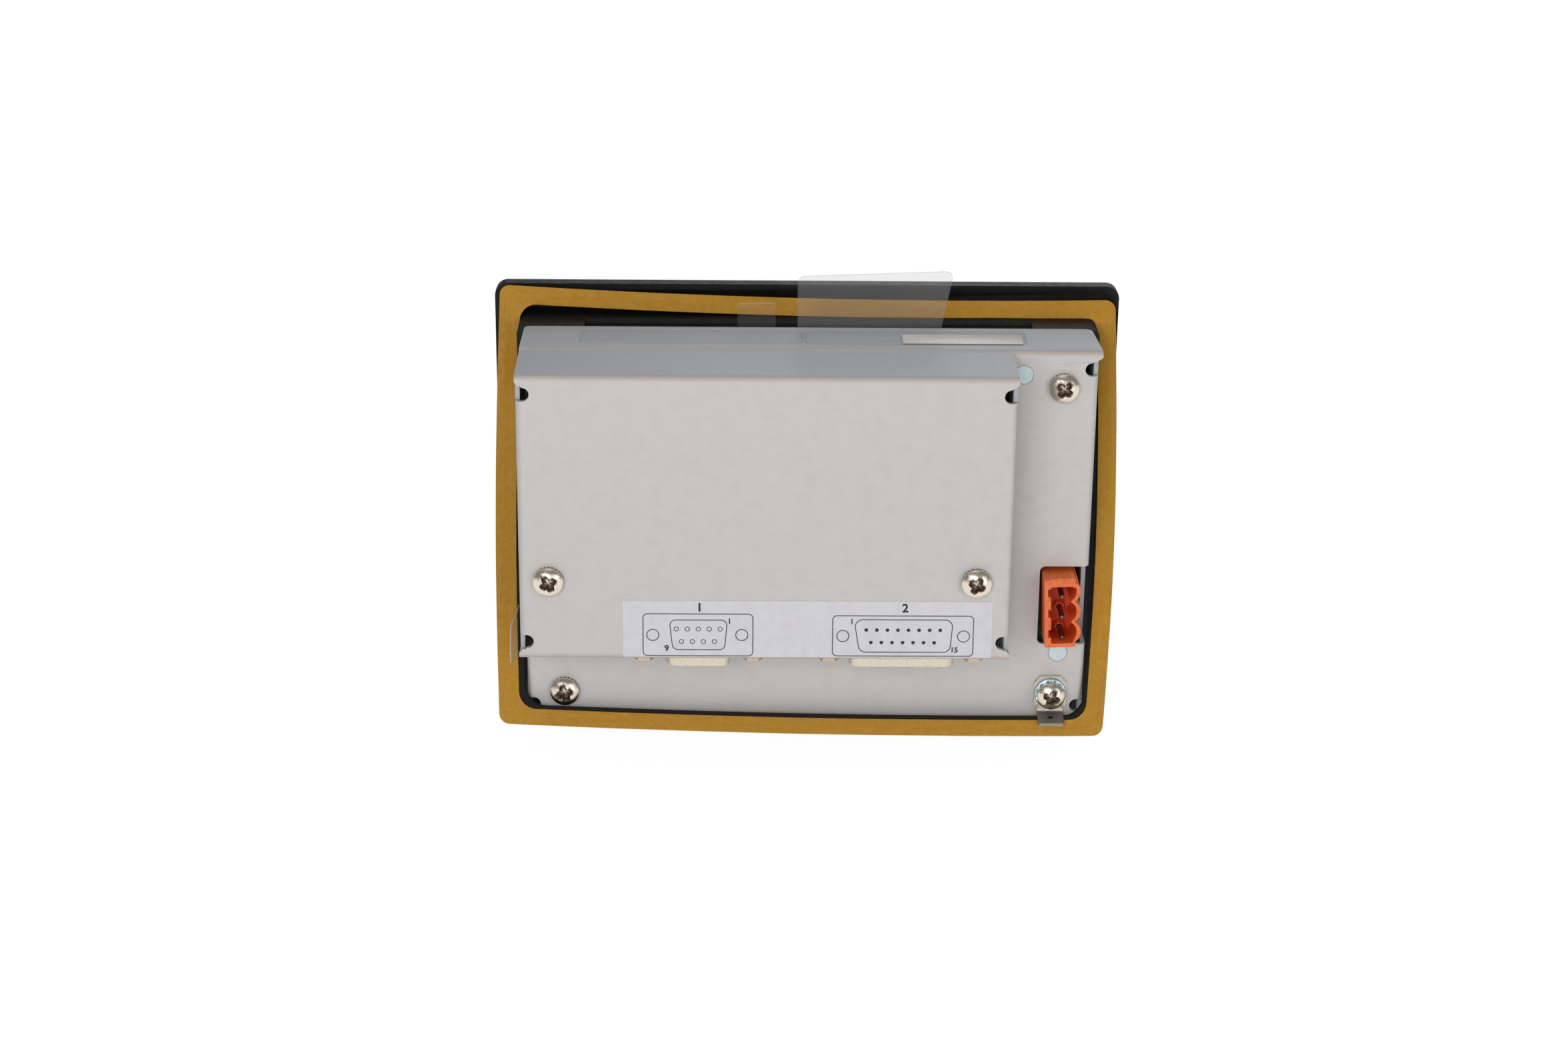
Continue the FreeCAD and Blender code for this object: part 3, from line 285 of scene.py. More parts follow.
def softened(node, material, width):
    """A merged copy of a CAD node with its edges broken. Its flat triangles are dissolved, and its
    many-sided faces are netted again, so that none runs across an opening."""
    mesh = frame["nodes"][node].data.copy()
    mesh.materials.clear()
    mesh.materials.append(material)
    shell = bmesh.new()
    shell.from_mesh(mesh)
    bmesh.ops.remove_doubles(shell, verts=shell.verts, dist=1e-6)
    bmesh.ops.dissolve_limit(shell, angle_limit=math.radians(2), verts=shell.verts, edges=shell.edges)
    many_sided = [face for face in shell.faces if len(face.verts) > 12]
    bmesh.ops.triangulate(shell, faces=many_sided, ngon_method="EAR_CLIP")
    shell.to_mesh(mesh)
    shell.free()
    mesh.polygons.foreach_set("material_index", np.zeros(len(mesh.polygons), np.int32))
    made = bpy.data.objects.new(node + "_eased", mesh)
    bpy.context.scene.collection.objects.link(made)
    mesh.shade_smooth()
    mesh.set_sharp_from_angle(angle=math.radians(30))
    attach(made, "case")
    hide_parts(node)
    ease(made, width)


# ---------------------------------------------------------------- materials
def linear(code):
    """An sRGB hex colour as linear red, green, blue and full alpha."""
    value = np.array([int(code[i:i + 2], 16) for i in (1, 3, 5)]) / 255
    value = np.where(value <= 0.04045, value / 12.92, ((value + 0.055) / 1.055) ** 2.4)
    return (*value.tolist(), 1.0)


def put(tree, kind, inputs=None, **settings):
    """Add a node: settings are its properties, and inputs fill its sockets with values or links."""
    made = tree.nodes.new("ShaderNode" + kind)
    for name, value in settings.items():
        setattr(made, name, value)
    for name, value in (inputs or {}).items():
        if isinstance(value, bpy.types.NodeSocket):
            tree.links.new(value, made.inputs[name])
        else:
            made.inputs[name].default_value = value
    return made


def noise(size, low, high, **more):
    """Settings of a noise pattern: its features' size, and the levels that become 0 and 1."""
    return dict(size=size, low=low, high=high, **more)


def cells(size, low, high):
    """Settings of a pattern of round cells."""
    return noise(size, low, high, kind="TexVoronoi")


def marked(name, low=0.0, high=1.0):
    """Settings of a pattern read from an attribute of the mesh."""
    return noise(1, low, high, kind="Attribute", place=name)


def pattern(tree, size, low, high, kind="TexNoise", place="Object", inputs=None):
    """A procedural pattern as 0 to 1, its features size millimetres across on each axis.

    place is Object, UV or the name of an attribute, whose values are then used as they are.
    """
    if kind == "Attribute":
        source = put(tree, "Attribute", attribute_name=place).outputs["Fac"]
    else:
        where = put(tree, "TexCoord").outputs[place]
        size = np.broadcast_to(size, 3)
        moved = put(tree, "Mapping", {"Vector": where, "Scale": tuple(1 / (s * MM) for s in size)})
        source = put(tree, kind, {"Vector": moved.outputs[0], **(inputs or {})}).outputs[0]
    return put(tree, "MapRange", {"Value": source, "From Min": low, "From Max": high}).outputs[0]


def material(name, colour, shader=None, tints=(), bumps=(), rough=()):
    """A principled material with layers: tints are (colour, strength, pattern settings), bumps
    (height in millimetres, pattern settings) and rough (roughness to reach, pattern settings)."""
    made = bpy.data.materials.new(name)
    made.use_nodes = True
    tree = made.node_tree
    surface = tree.nodes["Principled BSDF"]
    for socket, value in (shader or {}).items():
        surface.inputs[socket].default_value = value
    surface.inputs["Base Color"].default_value = linear(colour)
    last = None
    for tint, strength, settings in tints:
        share = put(tree, "Math", {0: pattern(tree, **settings), 1: strength}, operation="MULTIPLY")
        mix = put(tree, "Mix", {"Factor": share.outputs[0]}, data_type="RGBA")
        colour_sockets = [s for s in mix.inputs if s.type == "RGBA"]
        colour_sockets[1].default_value = linear(tint)
        if last is None:
            colour_sockets[0].default_value = linear(colour)
        else:
            tree.links.new(last, colour_sockets[0])
        last = [s for s in mix.outputs if s.type == "RGBA"][0]
    if last is not None:
        tree.links.new(last, surface.inputs["Base Color"])
    level = surface.inputs["Roughness"].default_value
    last = None
    for reach, settings in rough:
        values = {"Value": pattern(tree, **settings), "To Max": reach}
        values["To Min"] = level if last is None else last
        last = put(tree, "MapRange", values).outputs[0]
    if last is not None:
        tree.links.new(last, surface.inputs["Roughness"])
    normal = None
    for height, settings in bumps:
        inputs = {"Height": pattern(tree, **settings), "Distance": height * MM, "Strength": 1.0}
        if normal is not None:
            inputs["Normal"] = normal
        normal = put(tree, "Bump", inputs).outputs[0]
    if normal is not None:
        tree.links.new(normal, surface.inputs["Normal"])
    return made


# Matt black ABS, injection moulded with a fine spark texture: a soft sheen broken by tiny grain,
# with handling marks that take the sheen off in places.
BLACK_ABS = material(
    "moulded_black_abs", "#121212", {"Roughness": 0.5, "IOR": 1.4, "Specular IOR Level": 0.32},
    tints=[("#1B1B1C", 0.6, noise(14, 0.45, 0.75)),
           ("#2B2B2D", 0.5, noise((0.8, 6, 0.8), 0.68, 0.76))],
    rough=[(0.6, noise(9, 0.4, 0.7)), (0.3, noise((2, 9, 0.7), 0.66, 0.72))],
    bumps=[(0.012, noise(0.35, 0.3, 0.7))])

# Polyester overlay, screen printed on its back and textured on its front: an even dark grey with a
# fine orange-peel grain.
OVERLAY_FILM = material(
    "textured_polyester_overlay", "#34383D", {"Roughness": 0.46, "IOR": 1.57},
    tints=[("#3C4147", 0.7, noise(30, 0.4, 0.7))],
    rough=[(0.58, noise(12, 0.4, 0.7))],
    bumps=[(0.02, cells(0.5, 0.1, 0.7))])

# Clear polyester window let into the overlay: glossy, slightly smoked by the dark card behind it.
CLEAR_WINDOW = material(
    "clear_polyester_window", "#50565C", {"Roughness": 0.08, "IOR": 1.57, "Coat Weight": 0.6},
    tints=[("#5C636B", 0.5, noise(8, 0.4, 0.7))],
    rough=[(0.2, noise((14, 2, 0.6), 0.6, 0.7))],
    bumps=[(0.006, noise(5, 0.3, 0.7))])

# Key caps moulded in pale grey plastic, slightly polished in the middle by fingers.
KEY_GREY = material(
    "moulded_key_grey", "#A9AFB6", {"Roughness": 0.52, "IOR": 1.45},
    tints=[("#949AA2", 0.5, noise(5, 0.45, 0.75)),
           ("#7F858D", 0.5, noise(1.2, 0.66, 0.74))],
    rough=[(0.36, noise(4, 0.45, 0.65))],
    bumps=[(0.012, noise(0.3, 0.3, 0.7))])

# Solder resist over glass-fibre board: deep green with the faint grid of the tracks below.
BOARD_GREEN = material(
    "solder_resist_board", "#1E5B38", {"Roughness": 0.34, "IOR": 1.5, "Coat Weight": 0.3},
    tints=[("#2C7449", 0.8, cells(1.3, 0.05, 0.2)),
           ("#174A2D", 0.7, noise((9, 4, 0.8), 0.5, 0.6))],
    rough=[(0.5, noise(2, 0.4, 0.6))],
    bumps=[(0.02, noise((6, 3, 0.7), 0.5, 0.55))])

# Float glass with a resistive touch film: very smooth, near-black green over the unlit display.
TOUCH_GLASS = material(
    "film_on_glass_touch_screen", "#39413A", {"Roughness": 0.12, "IOR": 1.52, "Coat Weight": 0.5},
    tints=[("#434C42", 0.6, noise(26, 0.4, 0.7))],
    rough=[(0.22, noise((18, 4, 9), 0.5, 0.75))],
    bumps=[(0.004, noise(0.4, 0.3, 0.7))])

# Unlit liquid crystal: grey-green, with the fine pitch of its dots.
LCD_GREY = material(
    "unlit_liquid_crystal", "#6E7A66", {"Roughness": 0.25, "IOR": 1.5},
    tints=[("#5E6A58", 0.8, cells(0.9, 0.2, 0.5))],
    bumps=[(0.003, noise(2, 0.3, 0.7))])

# Opal acrylic diffuser: milky white with a faint yellowing.
DIFFUSER_WHITE = material(
    "opal_acrylic_diffuser", "#E6E4DA", {"Roughness": 0.3, "IOR": 1.49, "Subsurface Weight": 0.1},
    tints=[("#DAD6C4", 0.6, noise(12, 0.4, 0.7))],
    bumps=[(0.004, noise(1.5, 0.3, 0.7))])

# Bright zinc on steel, left as plated: fine crystalline spangle and a faint rolled grain.
PLATED_STEEL = material(
    "zinc_plated_steel", "#B4B8BC", {"Metallic": 1.0, "Roughness": 0.3},
    tints=[("#9CA1A8", 0.6, cells(3, 0.1, 0.6))],
    rough=[(0.48, noise(2, 0.4, 0.65))],
    bumps=[(0.006, noise(0.8, 0.3, 0.7))])

# Nickel plate on steel screws: warm bright metal, with the driver's scratches and dull patches, and painted
# shade in the recess.
NICKEL_SCREW = material(
    "nickel_plated_screw", "#E6DACB", {"Metallic": 1.0, "Roughness": 0.15},
    tints=[("#CDBDA8", 0.45, noise(1.6, 0.45, 0.7)),
           # painted shade: the recess dark brown, a little paler at the middle of its floor
           ("#4B3C2B", 0.95, marked("recess")),
           ("#F2E9DA", 0.9, marked("burr"))],
    rough=[(0.24, noise(1.4, 0.45, 0.68)),
           (0.5, marked("recess"))],
    bumps=[(0.004, noise((0.25, 1.4, 0.9), 0.45, 0.6))])

# Zinc and grit in the serrations under each head: dull dark grey steel.
WASHER_DARK = material(
    "dull_spring_steel_washer", "#6E6A64", {"Metallic": 1.0, "Roughness": 0.45},
    tints=[("#37342F", 0.9, noise(0.7, 0.45, 0.6))],
    rough=[(0.65, noise(0.6, 0.4, 0.6))],
    bumps=[(0.03, noise(0.3, 0.35, 0.65))])

# Blue-bright passivated zinc: cool, mirror-like edges with iridescent patches.
BLUE_ZINC = material(
    "blue_passivated_zinc", "#BFD0D4", {"Metallic": 1.0, "Roughness": 0.22},
    tints=[("#9DB9BC", 0.8, noise(1.8, 0.4, 0.62)),
           ("#C9C6AA", 0.5, noise(2.6, 0.55, 0.7))],
    rough=[(0.4, noise(1.2, 0.4, 0.65))],
    bumps=[(0.008, noise(0.5, 0.35, 0.65))])

# Clinched steel discs, zinc plated and pressed flush: pale blue-green with a mottled matt face.
ZINC_DISC = material(
    "pressed_zinc_disc", "#C3D3D8", {"Metallic": 0.55, "Roughness": 0.38},
    tints=[("#D3DFC9", 0.35, noise(2.2, 0.45, 0.62)),
           ("#B4C7D0", 0.5, noise(1.1, 0.5, 0.64))],
    rough=[(0.55, noise(0.8, 0.4, 0.65))],
    bumps=[(0.012, noise(0.5, 0.35, 0.65))])

# Aluminium sheet, brushed along the rows and then folded: fine long lines across the width, a few
# dark specks, and a bend line where the outer skin is stretched rough and slightly pink. Its flanges
# are painted a darker bluish grey as shade.
SHEET = material(
    "brushed_aluminium_sheet", "#CDC9C5", {"Metallic": 0.22, "Roughness": 0.5},
    tints=[("#C0BEBC", 0.4, noise((9, 9, 0.16), 0.38, 0.66)),
           ("#D8D4D0", 0.3, noise((28, 28, 0.5), 0.5, 0.7)),
           ("#C1BEBB", 0.4, noise(18, 0.45, 0.75)),
           ("#97918C", 0.5, noise(0.7, 0.74, 0.78)),
           ("#C9B6AA", 0.65, marked("bend", 0.35, 1.0)),
           # painted shade: the flanges tinted a darker bluish grey
           ("#A6ABB3", 0.75, marked("flange"))],
    rough=[(0.56, noise((6, 6, 0.2), 0.35, 0.65)),
           (0.66, marked("bend", 0.2, 1.0))],
    bumps=[(0.006, noise((12, 12, 0.12), 0.35, 0.65)),
           (0.004, noise(0.4, 0.3, 0.7))])

# Tinned brass push-on terminal: warm silver with mottled darker patches, and the tab past its bend painted
# a dull brown as shade.
TINNED_BRASS = material(
    "tinned_brass_terminal", "#D2C9BE", {"Metallic": 1.0, "Roughness": 0.3},
    tints=[("#AB9E90", 0.5, noise(2.0, 0.42, 0.62)),
           ("#CFC7BC", 0.7, noise((0.25, 2.5, 2.5), 0.55, 0.68)),
           # painted shade on the bent-out tab
           ("#8B837A", 0.85, marked("tab"))],
    rough=[(0.5, noise(1.4, 0.4, 0.65))],
    bumps=[(0.005, noise((0.2, 1.5, 1.5), 0.4, 0.6))])

# Orange polyester (PBT) with glass fibre, moulded: saturated and slightly translucent. Down in its
# well it is painted a deeper red, as painted shade and painted glow of light through the walls.
ORANGE_PBT = material(
    "moulded_orange_polyester", "#F47636", {"Roughness": 0.36, "IOR": 1.57, "Subsurface Weight": 0.12,
                                            "Subsurface Scale": 0.0015},
    tints=[("#E25C22", 0.7, noise(3.5, 0.42, 0.64)),
           ("#EE7A45", 0.5, noise((0.3, 3, 0.6), 0.62, 0.7)),
           # painted shade and glow: a deeper red the further down the well
           ("#D93F10", 0.85, marked("depth"))],
    rough=[(0.5, noise(1.8, 0.4, 0.65))],
    bumps=[(0.01, noise(0.35, 0.3, 0.7))])

# Tinned square pins: painted dark with darker brown patches as shade in the well, with blunt bright tips.
PIN_TIN = material(
    "tinned_square_pin", "#8D8580", {"Metallic": 1.0, "Roughness": 0.3},
    # painted shade: dark brown patches
    tints=[("#4A403A", 0.85, noise(1.4, 0.4, 0.62))],
    rough=[(0.48, noise(0.7, 0.4, 0.62))],
    bumps=[(0.01, noise((0.2, 2, 0.2), 0.4, 0.62))])

# Yellow-passivated zinc on the connector shells: pale cream gold, blotchy with green and pink.
YELLOW_ZINC = material(
    "yellow_zinc_shell", "#E3DCCC", {"Metallic": 0.7, "Roughness": 0.36},
    tints=[("#D6CBAC", 0.8, noise(2.4, 0.42, 0.62)),
           ("#D9D6BE", 0.7, noise(1.2, 0.52, 0.66)),
           ("#C4BA9A", 0.6, noise(0.7, 0.62, 0.7))],
    rough=[(0.5, noise(1.5, 0.4, 0.65))],
    bumps=[(0.014, noise(0.9, 0.35, 0.65))])

# Gold flash over nickel on the contacts: warm and bright.
CONTACT_GOLD = material(
    "gold_flashed_contact", "#D9B362", {"Metallic": 1.0, "Roughness": 0.24},
    tints=[("#B8934A", 0.6, noise(0.8, 0.45, 0.65))],
    rough=[(0.4, noise(0.5, 0.4, 0.6))])

# Glass-filled polyester insert: black, slightly grained.
INSERT_BLACK = material(
    "moulded_insert_black", "#222224", {"Roughness": 0.5, "IOR": 1.57},
    tints=[("#333336", 0.6, noise(1.2, 0.45, 0.65))],
    bumps=[(0.015, noise(0.4, 0.3, 0.7))])

# Nickelled jackscrews with a thin pink-beige tarnish.
JACK_METAL = material(
    "nickelled_jackscrew", "#D3BDAB", {"Metallic": 0.9, "Roughness": 0.3},
    tints=[("#B29A86", 0.7, noise(1.0, 0.42, 0.62))],
    rough=[(0.45, noise(0.6, 0.4, 0.6))],
    bumps=[(0.01, noise(0.4, 0.35, 0.65))])

# Clear polyester legend film, handled and scuffed: mostly see-through, with a pale haze, white
# specks and scratches, and a brighter line along its cut edges.
STRIP_FILM = material(
    "scuffed_clear_polyester", "#B9B7B4", {"Roughness": 0.3, "IOR": 1.4, "Alpha": 0.14},
    tints=[("#F4F5F6", 1.0, noise(0.8, 0.64, 0.7))],
    rough=[(0.34, noise((3, 3, 3), 0.4, 0.7))],
    bumps=[(0.01, noise(6, 0.3, 0.7))])

# The same film unscuffed on the narrow strip: all but invisible flat on.
STRIP_CLEAR = material(
    "clean_clear_polyester", "#B9B7B4", {"Roughness": 0.25, "IOR": 1.4, "Alpha": 0.05},
    tints=[("#F4F5F6", 1.0, noise(0.6, 0.68, 0.72))])

# Cut edge of the same film, where light gathers: a pale bluish line.
STRIP_EDGE = material(
    "clear_polyester_cut_edge", "#C4CBD2", {"Roughness": 0.3, "Alpha": 0.62},
    tints=[("#E9EDF0", 0.8, noise(2.5, 0.45, 0.6))])

# Closed-cell EPDM sponge: dead black, with the pinholes of cut cells on its sides.
FOAM_BLACK = material(
    "cut_epdm_sponge", "#151413", {"Roughness": 0.92, "IOR": 1.4},
    tints=[("#262422", 0.8, cells(0.45, 0.15, 0.5))],
    bumps=[(0.08, cells(0.5, 0.1, 0.6)),
           (0.1, noise(3, 0.35, 0.65))])

# Siliconised kraft release paper, glued to the seal: amber brown, mottled at a few millimetres,
# flecked with fibres and lined with long pale creases where it follows the bowed foam.
LINER_KRAFT = material(
    "siliconised_kraft_paper", "#BD8923", {"Roughness": 0.62, "IOR": 1.36},
    tints=[("#B07E19", 0.5, noise(4.5, 0.42, 0.66, inputs={"Detail": 5.0})),
           ("#C99731", 0.45, noise(7.5, 0.5, 0.7, inputs={"Detail": 4.0})),
           ("#A67512", 0.3, noise(0.7, 0.5, 0.66, inputs={"Detail": 3.0})),
           ("#DDB768", 0.6, noise((60, 0.3, 1), 0.68, 0.74, place="UV")),
           ("#936513", 0.4, noise((34, 0.4, 1), 0.68, 0.75, place="UV"))],
    rough=[(0.36, noise(5, 0.42, 0.66))],
    bumps=[(0.03, noise((50, 0.5, 1), 0.5, 0.75, place="UV")),
           (0.03, noise(2.2, 0.35, 0.65)), (0.01, noise(0.25, 0.3, 0.7))])

# Self-adhesive white vinyl, printed black: flat lavender white.
LABEL_WHITE = material(
    "printed_white_vinyl", "#DAD8DB", {"Roughness": 0.42, "IOR": 1.5},
    tints=[("#D2CFD3", 0.7, noise(16, 0.4, 0.7)),
           ("#B9B3BC", 0.5, noise(0.6, 0.76, 0.8))],
    rough=[(0.55, noise(6, 0.4, 0.65))],
    bumps=[(0.01, noise(1.6, 0.3, 0.7))])

# Plain white paper sticker, matt.
STICKER_WHITE = material(
    "matt_paper_sticker", "#F2EDEB", {"Roughness": 0.75, "IOR": 1.45},
    tints=[("#E6E0DE", 0.7, noise(2.5, 0.42, 0.62))],
    bumps=[(0.015, noise(0.6, 0.3, 0.7))])

# Clear glossy polyester rating film over the sheet: hardly tinted, with a glossier surface.
RATING_FILM = material(
    "clear_rating_film", "#B4B7BC", {"Roughness": 0.3, "IOR": 1.4, "Alpha": 0.06},
    tints=[("#C3C6CC", 0.6, noise(9, 0.42, 0.66))],
    rough=[(0.3, noise(5, 0.4, 0.7))])

# Black screen ink, slightly soaked in at its edges.
BLACK_INK = material(
    "black_screen_ink", "#201F24", {"Roughness": 0.5, "IOR": 1.5},
    tints=[("#3A3940", 0.6, noise(0.5, 0.5, 0.66))])

# Dark gap round a pressed-in disc: grease, and painted shade.
GAP_DARK = material(
    "grimed_and_shaded_press_joint", "#57534F", {"Roughness": 0.8},
    tints=[("#2E2B29", 0.9, noise(0.8, 0.4, 0.6))])

# Epoxy chip bodies, transfer moulded: matt charcoal.
CHIP_BLACK = material(
    "moulded_epoxy_chip", "#2B2B2D", {"Roughness": 0.62, "IOR": 1.55},
    tints=[("#39393C", 0.6, noise(1.2, 0.45, 0.65))],
    bumps=[(0.012, noise(0.3, 0.3, 0.7))])

# Drawn aluminium capacitor cans.
CAN_ALUMINIUM = material(
    "drawn_aluminium_can", "#B9BCC0", {"Metallic": 1.0, "Roughness": 0.34},
    tints=[("#9A9DA2", 0.5, noise((3, 0.3, 3), 0.4, 0.65))],
    rough=[(0.48, noise(1, 0.4, 0.6))])

# Pressed ferrite: dark grey ceramic with a fine grain.
FERRITE = material(
    "sintered_ferrite", "#3A3B3E", {"Roughness": 0.7, "IOR": 1.6},
    tints=[("#4A4B4F", 0.7, noise(0.6, 0.45, 0.6))],
    bumps=[(0.02, noise(0.4, 0.3, 0.7))])

# Flat ribbon: white polyester with the grey lines of its conductors.
RIBBON_WHITE = material(
    "laminated_ribbon", "#D9DADB", {"Roughness": 0.4, "IOR": 1.5},
    tints=[("#A9ABB0", 0.8, noise((0.6, 20, 20), 0.5, 0.56))],
    bumps=[(0.02, noise((0.6, 20, 20), 0.45, 0.6))])

# Fish-paper insulator: grey-green pressed board.
INSULATOR_PAPER = material(
    "pressed_insulator_paper", "#6B7A70", {"Roughness": 0.82},
    tints=[("#5C6B62", 0.7, noise(1.5, 0.42, 0.6))],
    bumps=[(0.02, noise(0.6, 0.3, 0.7))])

# Diffused green lamps, unlit.
LED_GREEN = material(
    "diffused_green_epoxy", "#7DA47C", {"Roughness": 0.3, "IOR": 1.55, "Subsurface Weight": 0.15},
    tints=[("#93B78F", 0.6, noise(1.2, 0.4, 0.65))])

# The record's slots and the materials that dress them.
DRESS = {
    "black_plastic": BLACK_ABS, "overlay_film": OVERLAY_FILM, "clear_film": CLEAR_WINDOW,
    "key_grey": KEY_GREY, "board_green": BOARD_GREEN, "touch_glass": TOUCH_GLASS,
    "lcd_grey": LCD_GREY, "diffuser_white": DIFFUSER_WHITE, "plated_steel": PLATED_STEEL,
    "nickel_screw": NICKEL_SCREW, "aluminium_sheet": SHEET, "tinned_brass": TINNED_BRASS,
    "orange_plastic": ORANGE_PBT, "yellow_zinc": YELLOW_ZINC, "contact_gold": CONTACT_GOLD,
    "insert_black": INSERT_BLACK, "jack_metal": JACK_METAL, "strip_film": STRIP_FILM,
    "foam_black": FOAM_BLACK, "liner_paper": LINER_KRAFT, "label_white": LABEL_WHITE,
    "label_film": RATING_FILM, "chip_black": CHIP_BLACK, "can_aluminium": CAN_ALUMINIUM,
    "ferrite": FERRITE, "ribbon_white": RIBBON_WHITE, "insulator_paper": INSULATOR_PAPER,
    "led_green": LED_GREEN,
}
OWN_FINISH = {"blank_sticker": STICKER_WHITE, "clinch_standoffs": ZINC_DISC, "power_pins": PIN_TIN,
              "ground_washer": BLUE_ZINC}


# ---------------------------------------------------------------- sheet metal covers
SHEET_THICK = 1.0
BEND = 1.5                         # outer bend radius
BEND_RUN = BEND * math.pi / 2      # the outer skin's length round a right-angle bend
FOLDED_ANGLE = 50                  # only edges sharper than this are broken on folded pieces
NOTCH_RADIUS, NOTCH_DEPTH = 1.6, 3.1
NOTCH_END = 4.35                   # the notch's middle below the top plane
SIDE_SETBACK = 1.4                 # the side flange's end below the top plane


def bent(past, inset):
    """How far a blank's point lies outwards and forwards, given how far it is past a bend's start
    and how deep it lies below the outer skin: an arc about the bend's centre, then straight on."""
    turn = np.clip(past, 0, BEND_RUN) / BEND
    beyond = np.maximum(past - BEND_RUN, 0)
    return (np.minimum(past, 0) + (BEND - inset) * np.sin(turn),
            BEND - (BEND - inset) * np.cos(turn) + beyond)


def walled(flat, faces, place, thick):
    """A closed sheet's shapes from a flat net: its outer skin, its inner skin and a wall along each
    edge that only one triangle uses. place turns flat points and a depth into points in space."""
    sides = np.concatenate([faces[:, [0, 1]], faces[:, [1, 2]], faces[:, [2, 0]]])
    _, first, uses = np.unique(np.sort(sides, axis=1), axis=0, return_index=True, return_counts=True)
    rim = sides[first[uses == 1]]
    count = len(flat)
    walls = np.stack([rim[:, 1], rim[:, 0], rim[:, 0] + count, rim[:, 1] + count], axis=1)
    points = np.concatenate([place(flat, 0.0), place(flat, thick)])
    none = np.zeros((0, 3))
    return [(points, faces), (none, faces[:, ::-1] - count), (none, walls - 2 * count)]


def corner_cut(depth, flare, front_flare, rise):
    """The blank's outline at one corner, as offsets outwards from the side and the top plane: the
    side flange's end, the round relief notch, the ear at the bend, and the top flange's edge."""
    flange = depth + BEND_RUN - 2 * BEND
    past_bend = BEND_RUN - BEND + 0.3
    centre = (NOTCH_RADIUS - NOTCH_DEPTH, -NOTCH_END)
    notch = arc(centre, NOTCH_RADIUS, -90, -270, 14)
    side = rounded([(flange, -SIDE_SETBACK - 6), (flange, -SIDE_SETBACK), (past_bend, -SIDE_SETBACK),
                    (past_bend, centre[1] - NOTCH_RADIUS)], [0, 0.4, 0.2, 0])
    ear = rounded([(-1.0, centre[1] + NOTCH_RADIUS + 0.05), (flare, -1.5), (flare, -0.9),
                   (front_flare, flange), (front_flare - 6, flange)], [0.2, 0.35, 0.5, rise, 0])
    return np.concatenate([side[1:], notch, ear[:-1]])


def folded_cover(name, node, depth, flares, cutouts):
    """A cover cut as one flat blank and folded: its four flanges wrap round bends of one radius.
    flares holds each corner's ear: how far it flares at the bend, at its front, and its rounding.

    A blank point past a side bend turns forwards about it, between the two notches of that side,
    and any other point past a top or bottom bend turns about that one.
    """
    low, high = span(node)
    middle = middle_of(node)
    half = (high - low)[[0, 2]] / 2
    corners = []
    for turn, rise, flare in ((1, 1, flares[0]), (-1, 1, flares[1]), (-1, -1, flares[2]),
                              (1, -1, flares[3])):
        path = middle + (turn, rise) * (half + corner_cut(depth, *flare))
        corners.append(path if turn * rise > 0 else path[::-1])
    outline = np.concatenate(corners)
    runs = np.concatenate([[-0.12], np.linspace(0, BEND_RUN, 8), [BEND_RUN + 0.12]]) - BEND
    reach = half[1] - NOTCH_END
    lines = [[(-half[0] - 2, rise * (half[1] + run)), (half[0] + 2, rise * (half[1] + run))]
             for rise in (1, -1) for run in runs]
    lines += [[(turn * (half[0] + run), -reach), (turn * (half[0] + run), reach)]
              for turn in (1, -1) for run in runs]
    flat, faces = blank(outline, cutouts, np.array(lines) + middle)

    def past(points):
        beyond = np.abs(points - middle) - (half - BEND)
        ear = (beyond[:, 1] > BEND - NOTCH_END + NOTCH_RADIUS * 0.5) & (beyond[:, 0] < BEND_RUN + 0.2)
        side = (beyond[:, 0] > 0) & ~ear
        return np.where(side, beyond[:, 0], -1.0), np.where(side, -1.0, beyond[:, 1]), side

    def place(points, inset):
        past_x, past_z, side = past(points)
        (out_x, fall_x), (out_z, fall_z) = bent(past_x, inset), bent(past_z, inset)
        facing = np.sign(points - middle)
        x = np.where(side, middle[0] + facing[:, 0] * (half[0] - BEND + out_x), points[:, 0])
        folded_z = middle[1] + facing[:, 1] * (half[1] - BEND + out_z)
        z = np.where(~side & (past_z > 0), folded_z, points[:, 1])
        return np.stack([x, high[1] - np.where(side, fall_x, fall_z), z], axis=1)

    past_x, past_z, side = past(flat)
    share = np.where(side, past_x, past_z) / BEND_RUN
    bend = np.tile(np.clip(1.3 - np.abs(share - 0.5) * 2, 0, 1) * np.where(side, 0.25, 1.0), 2)
    # mask of the flanges' painted shade: 0 on the rear face, 1 from halfway round each bend outwards
    flange = np.tile(np.clip(share * 2 - 1, 0, 1), 2)
    made = make_piece(name, walled(flat, faces, place, SHEET_THICK), SHEET,
                      stands_for=[node], weight={"bend": bend, "flange": flange}, smooth=30)
    ease(made, 0.1, FOLDED_ANGLE)


BASE_LOW, BASE_HIGH = span("base_cover")
PORT_LOW, PORT_HIGH = span("port_cover")
HEADER_LOW, HEADER_HIGH = span("power_header")
DISC_LOW, DISC_HIGH = span("clinch_standoffs")
# each cover's ears from the top right corner, seen from the front, and on against the clock
BASE_EARS = [(0.3, 0.1, 1.6), (0.85, 0.0, 1.6), (0.4, 0.1, 1.0), (0.4, 0.1, 1.0)]
PORT_EARS = [(0.12, 0.2, 1.0), (0.12, 0.2, 2.2), (0.3, 0.2, 1.0), (0.3, 0.2, 1.0)]
DISC = 2.15                        # radius of the clinched discs
disc_top, disc_side = DISC_HIGH[2] - DISC, 17.0
DISCS = [(BASE_LOW[0] + disc_side, disc_top), (BASE_HIGH[0] - disc_side, disc_top),
         (DISC_LOW[0] + DISC, DISC_LOW[2] + DISC), (BASE_HIGH[0] - disc_side, -15.0)]
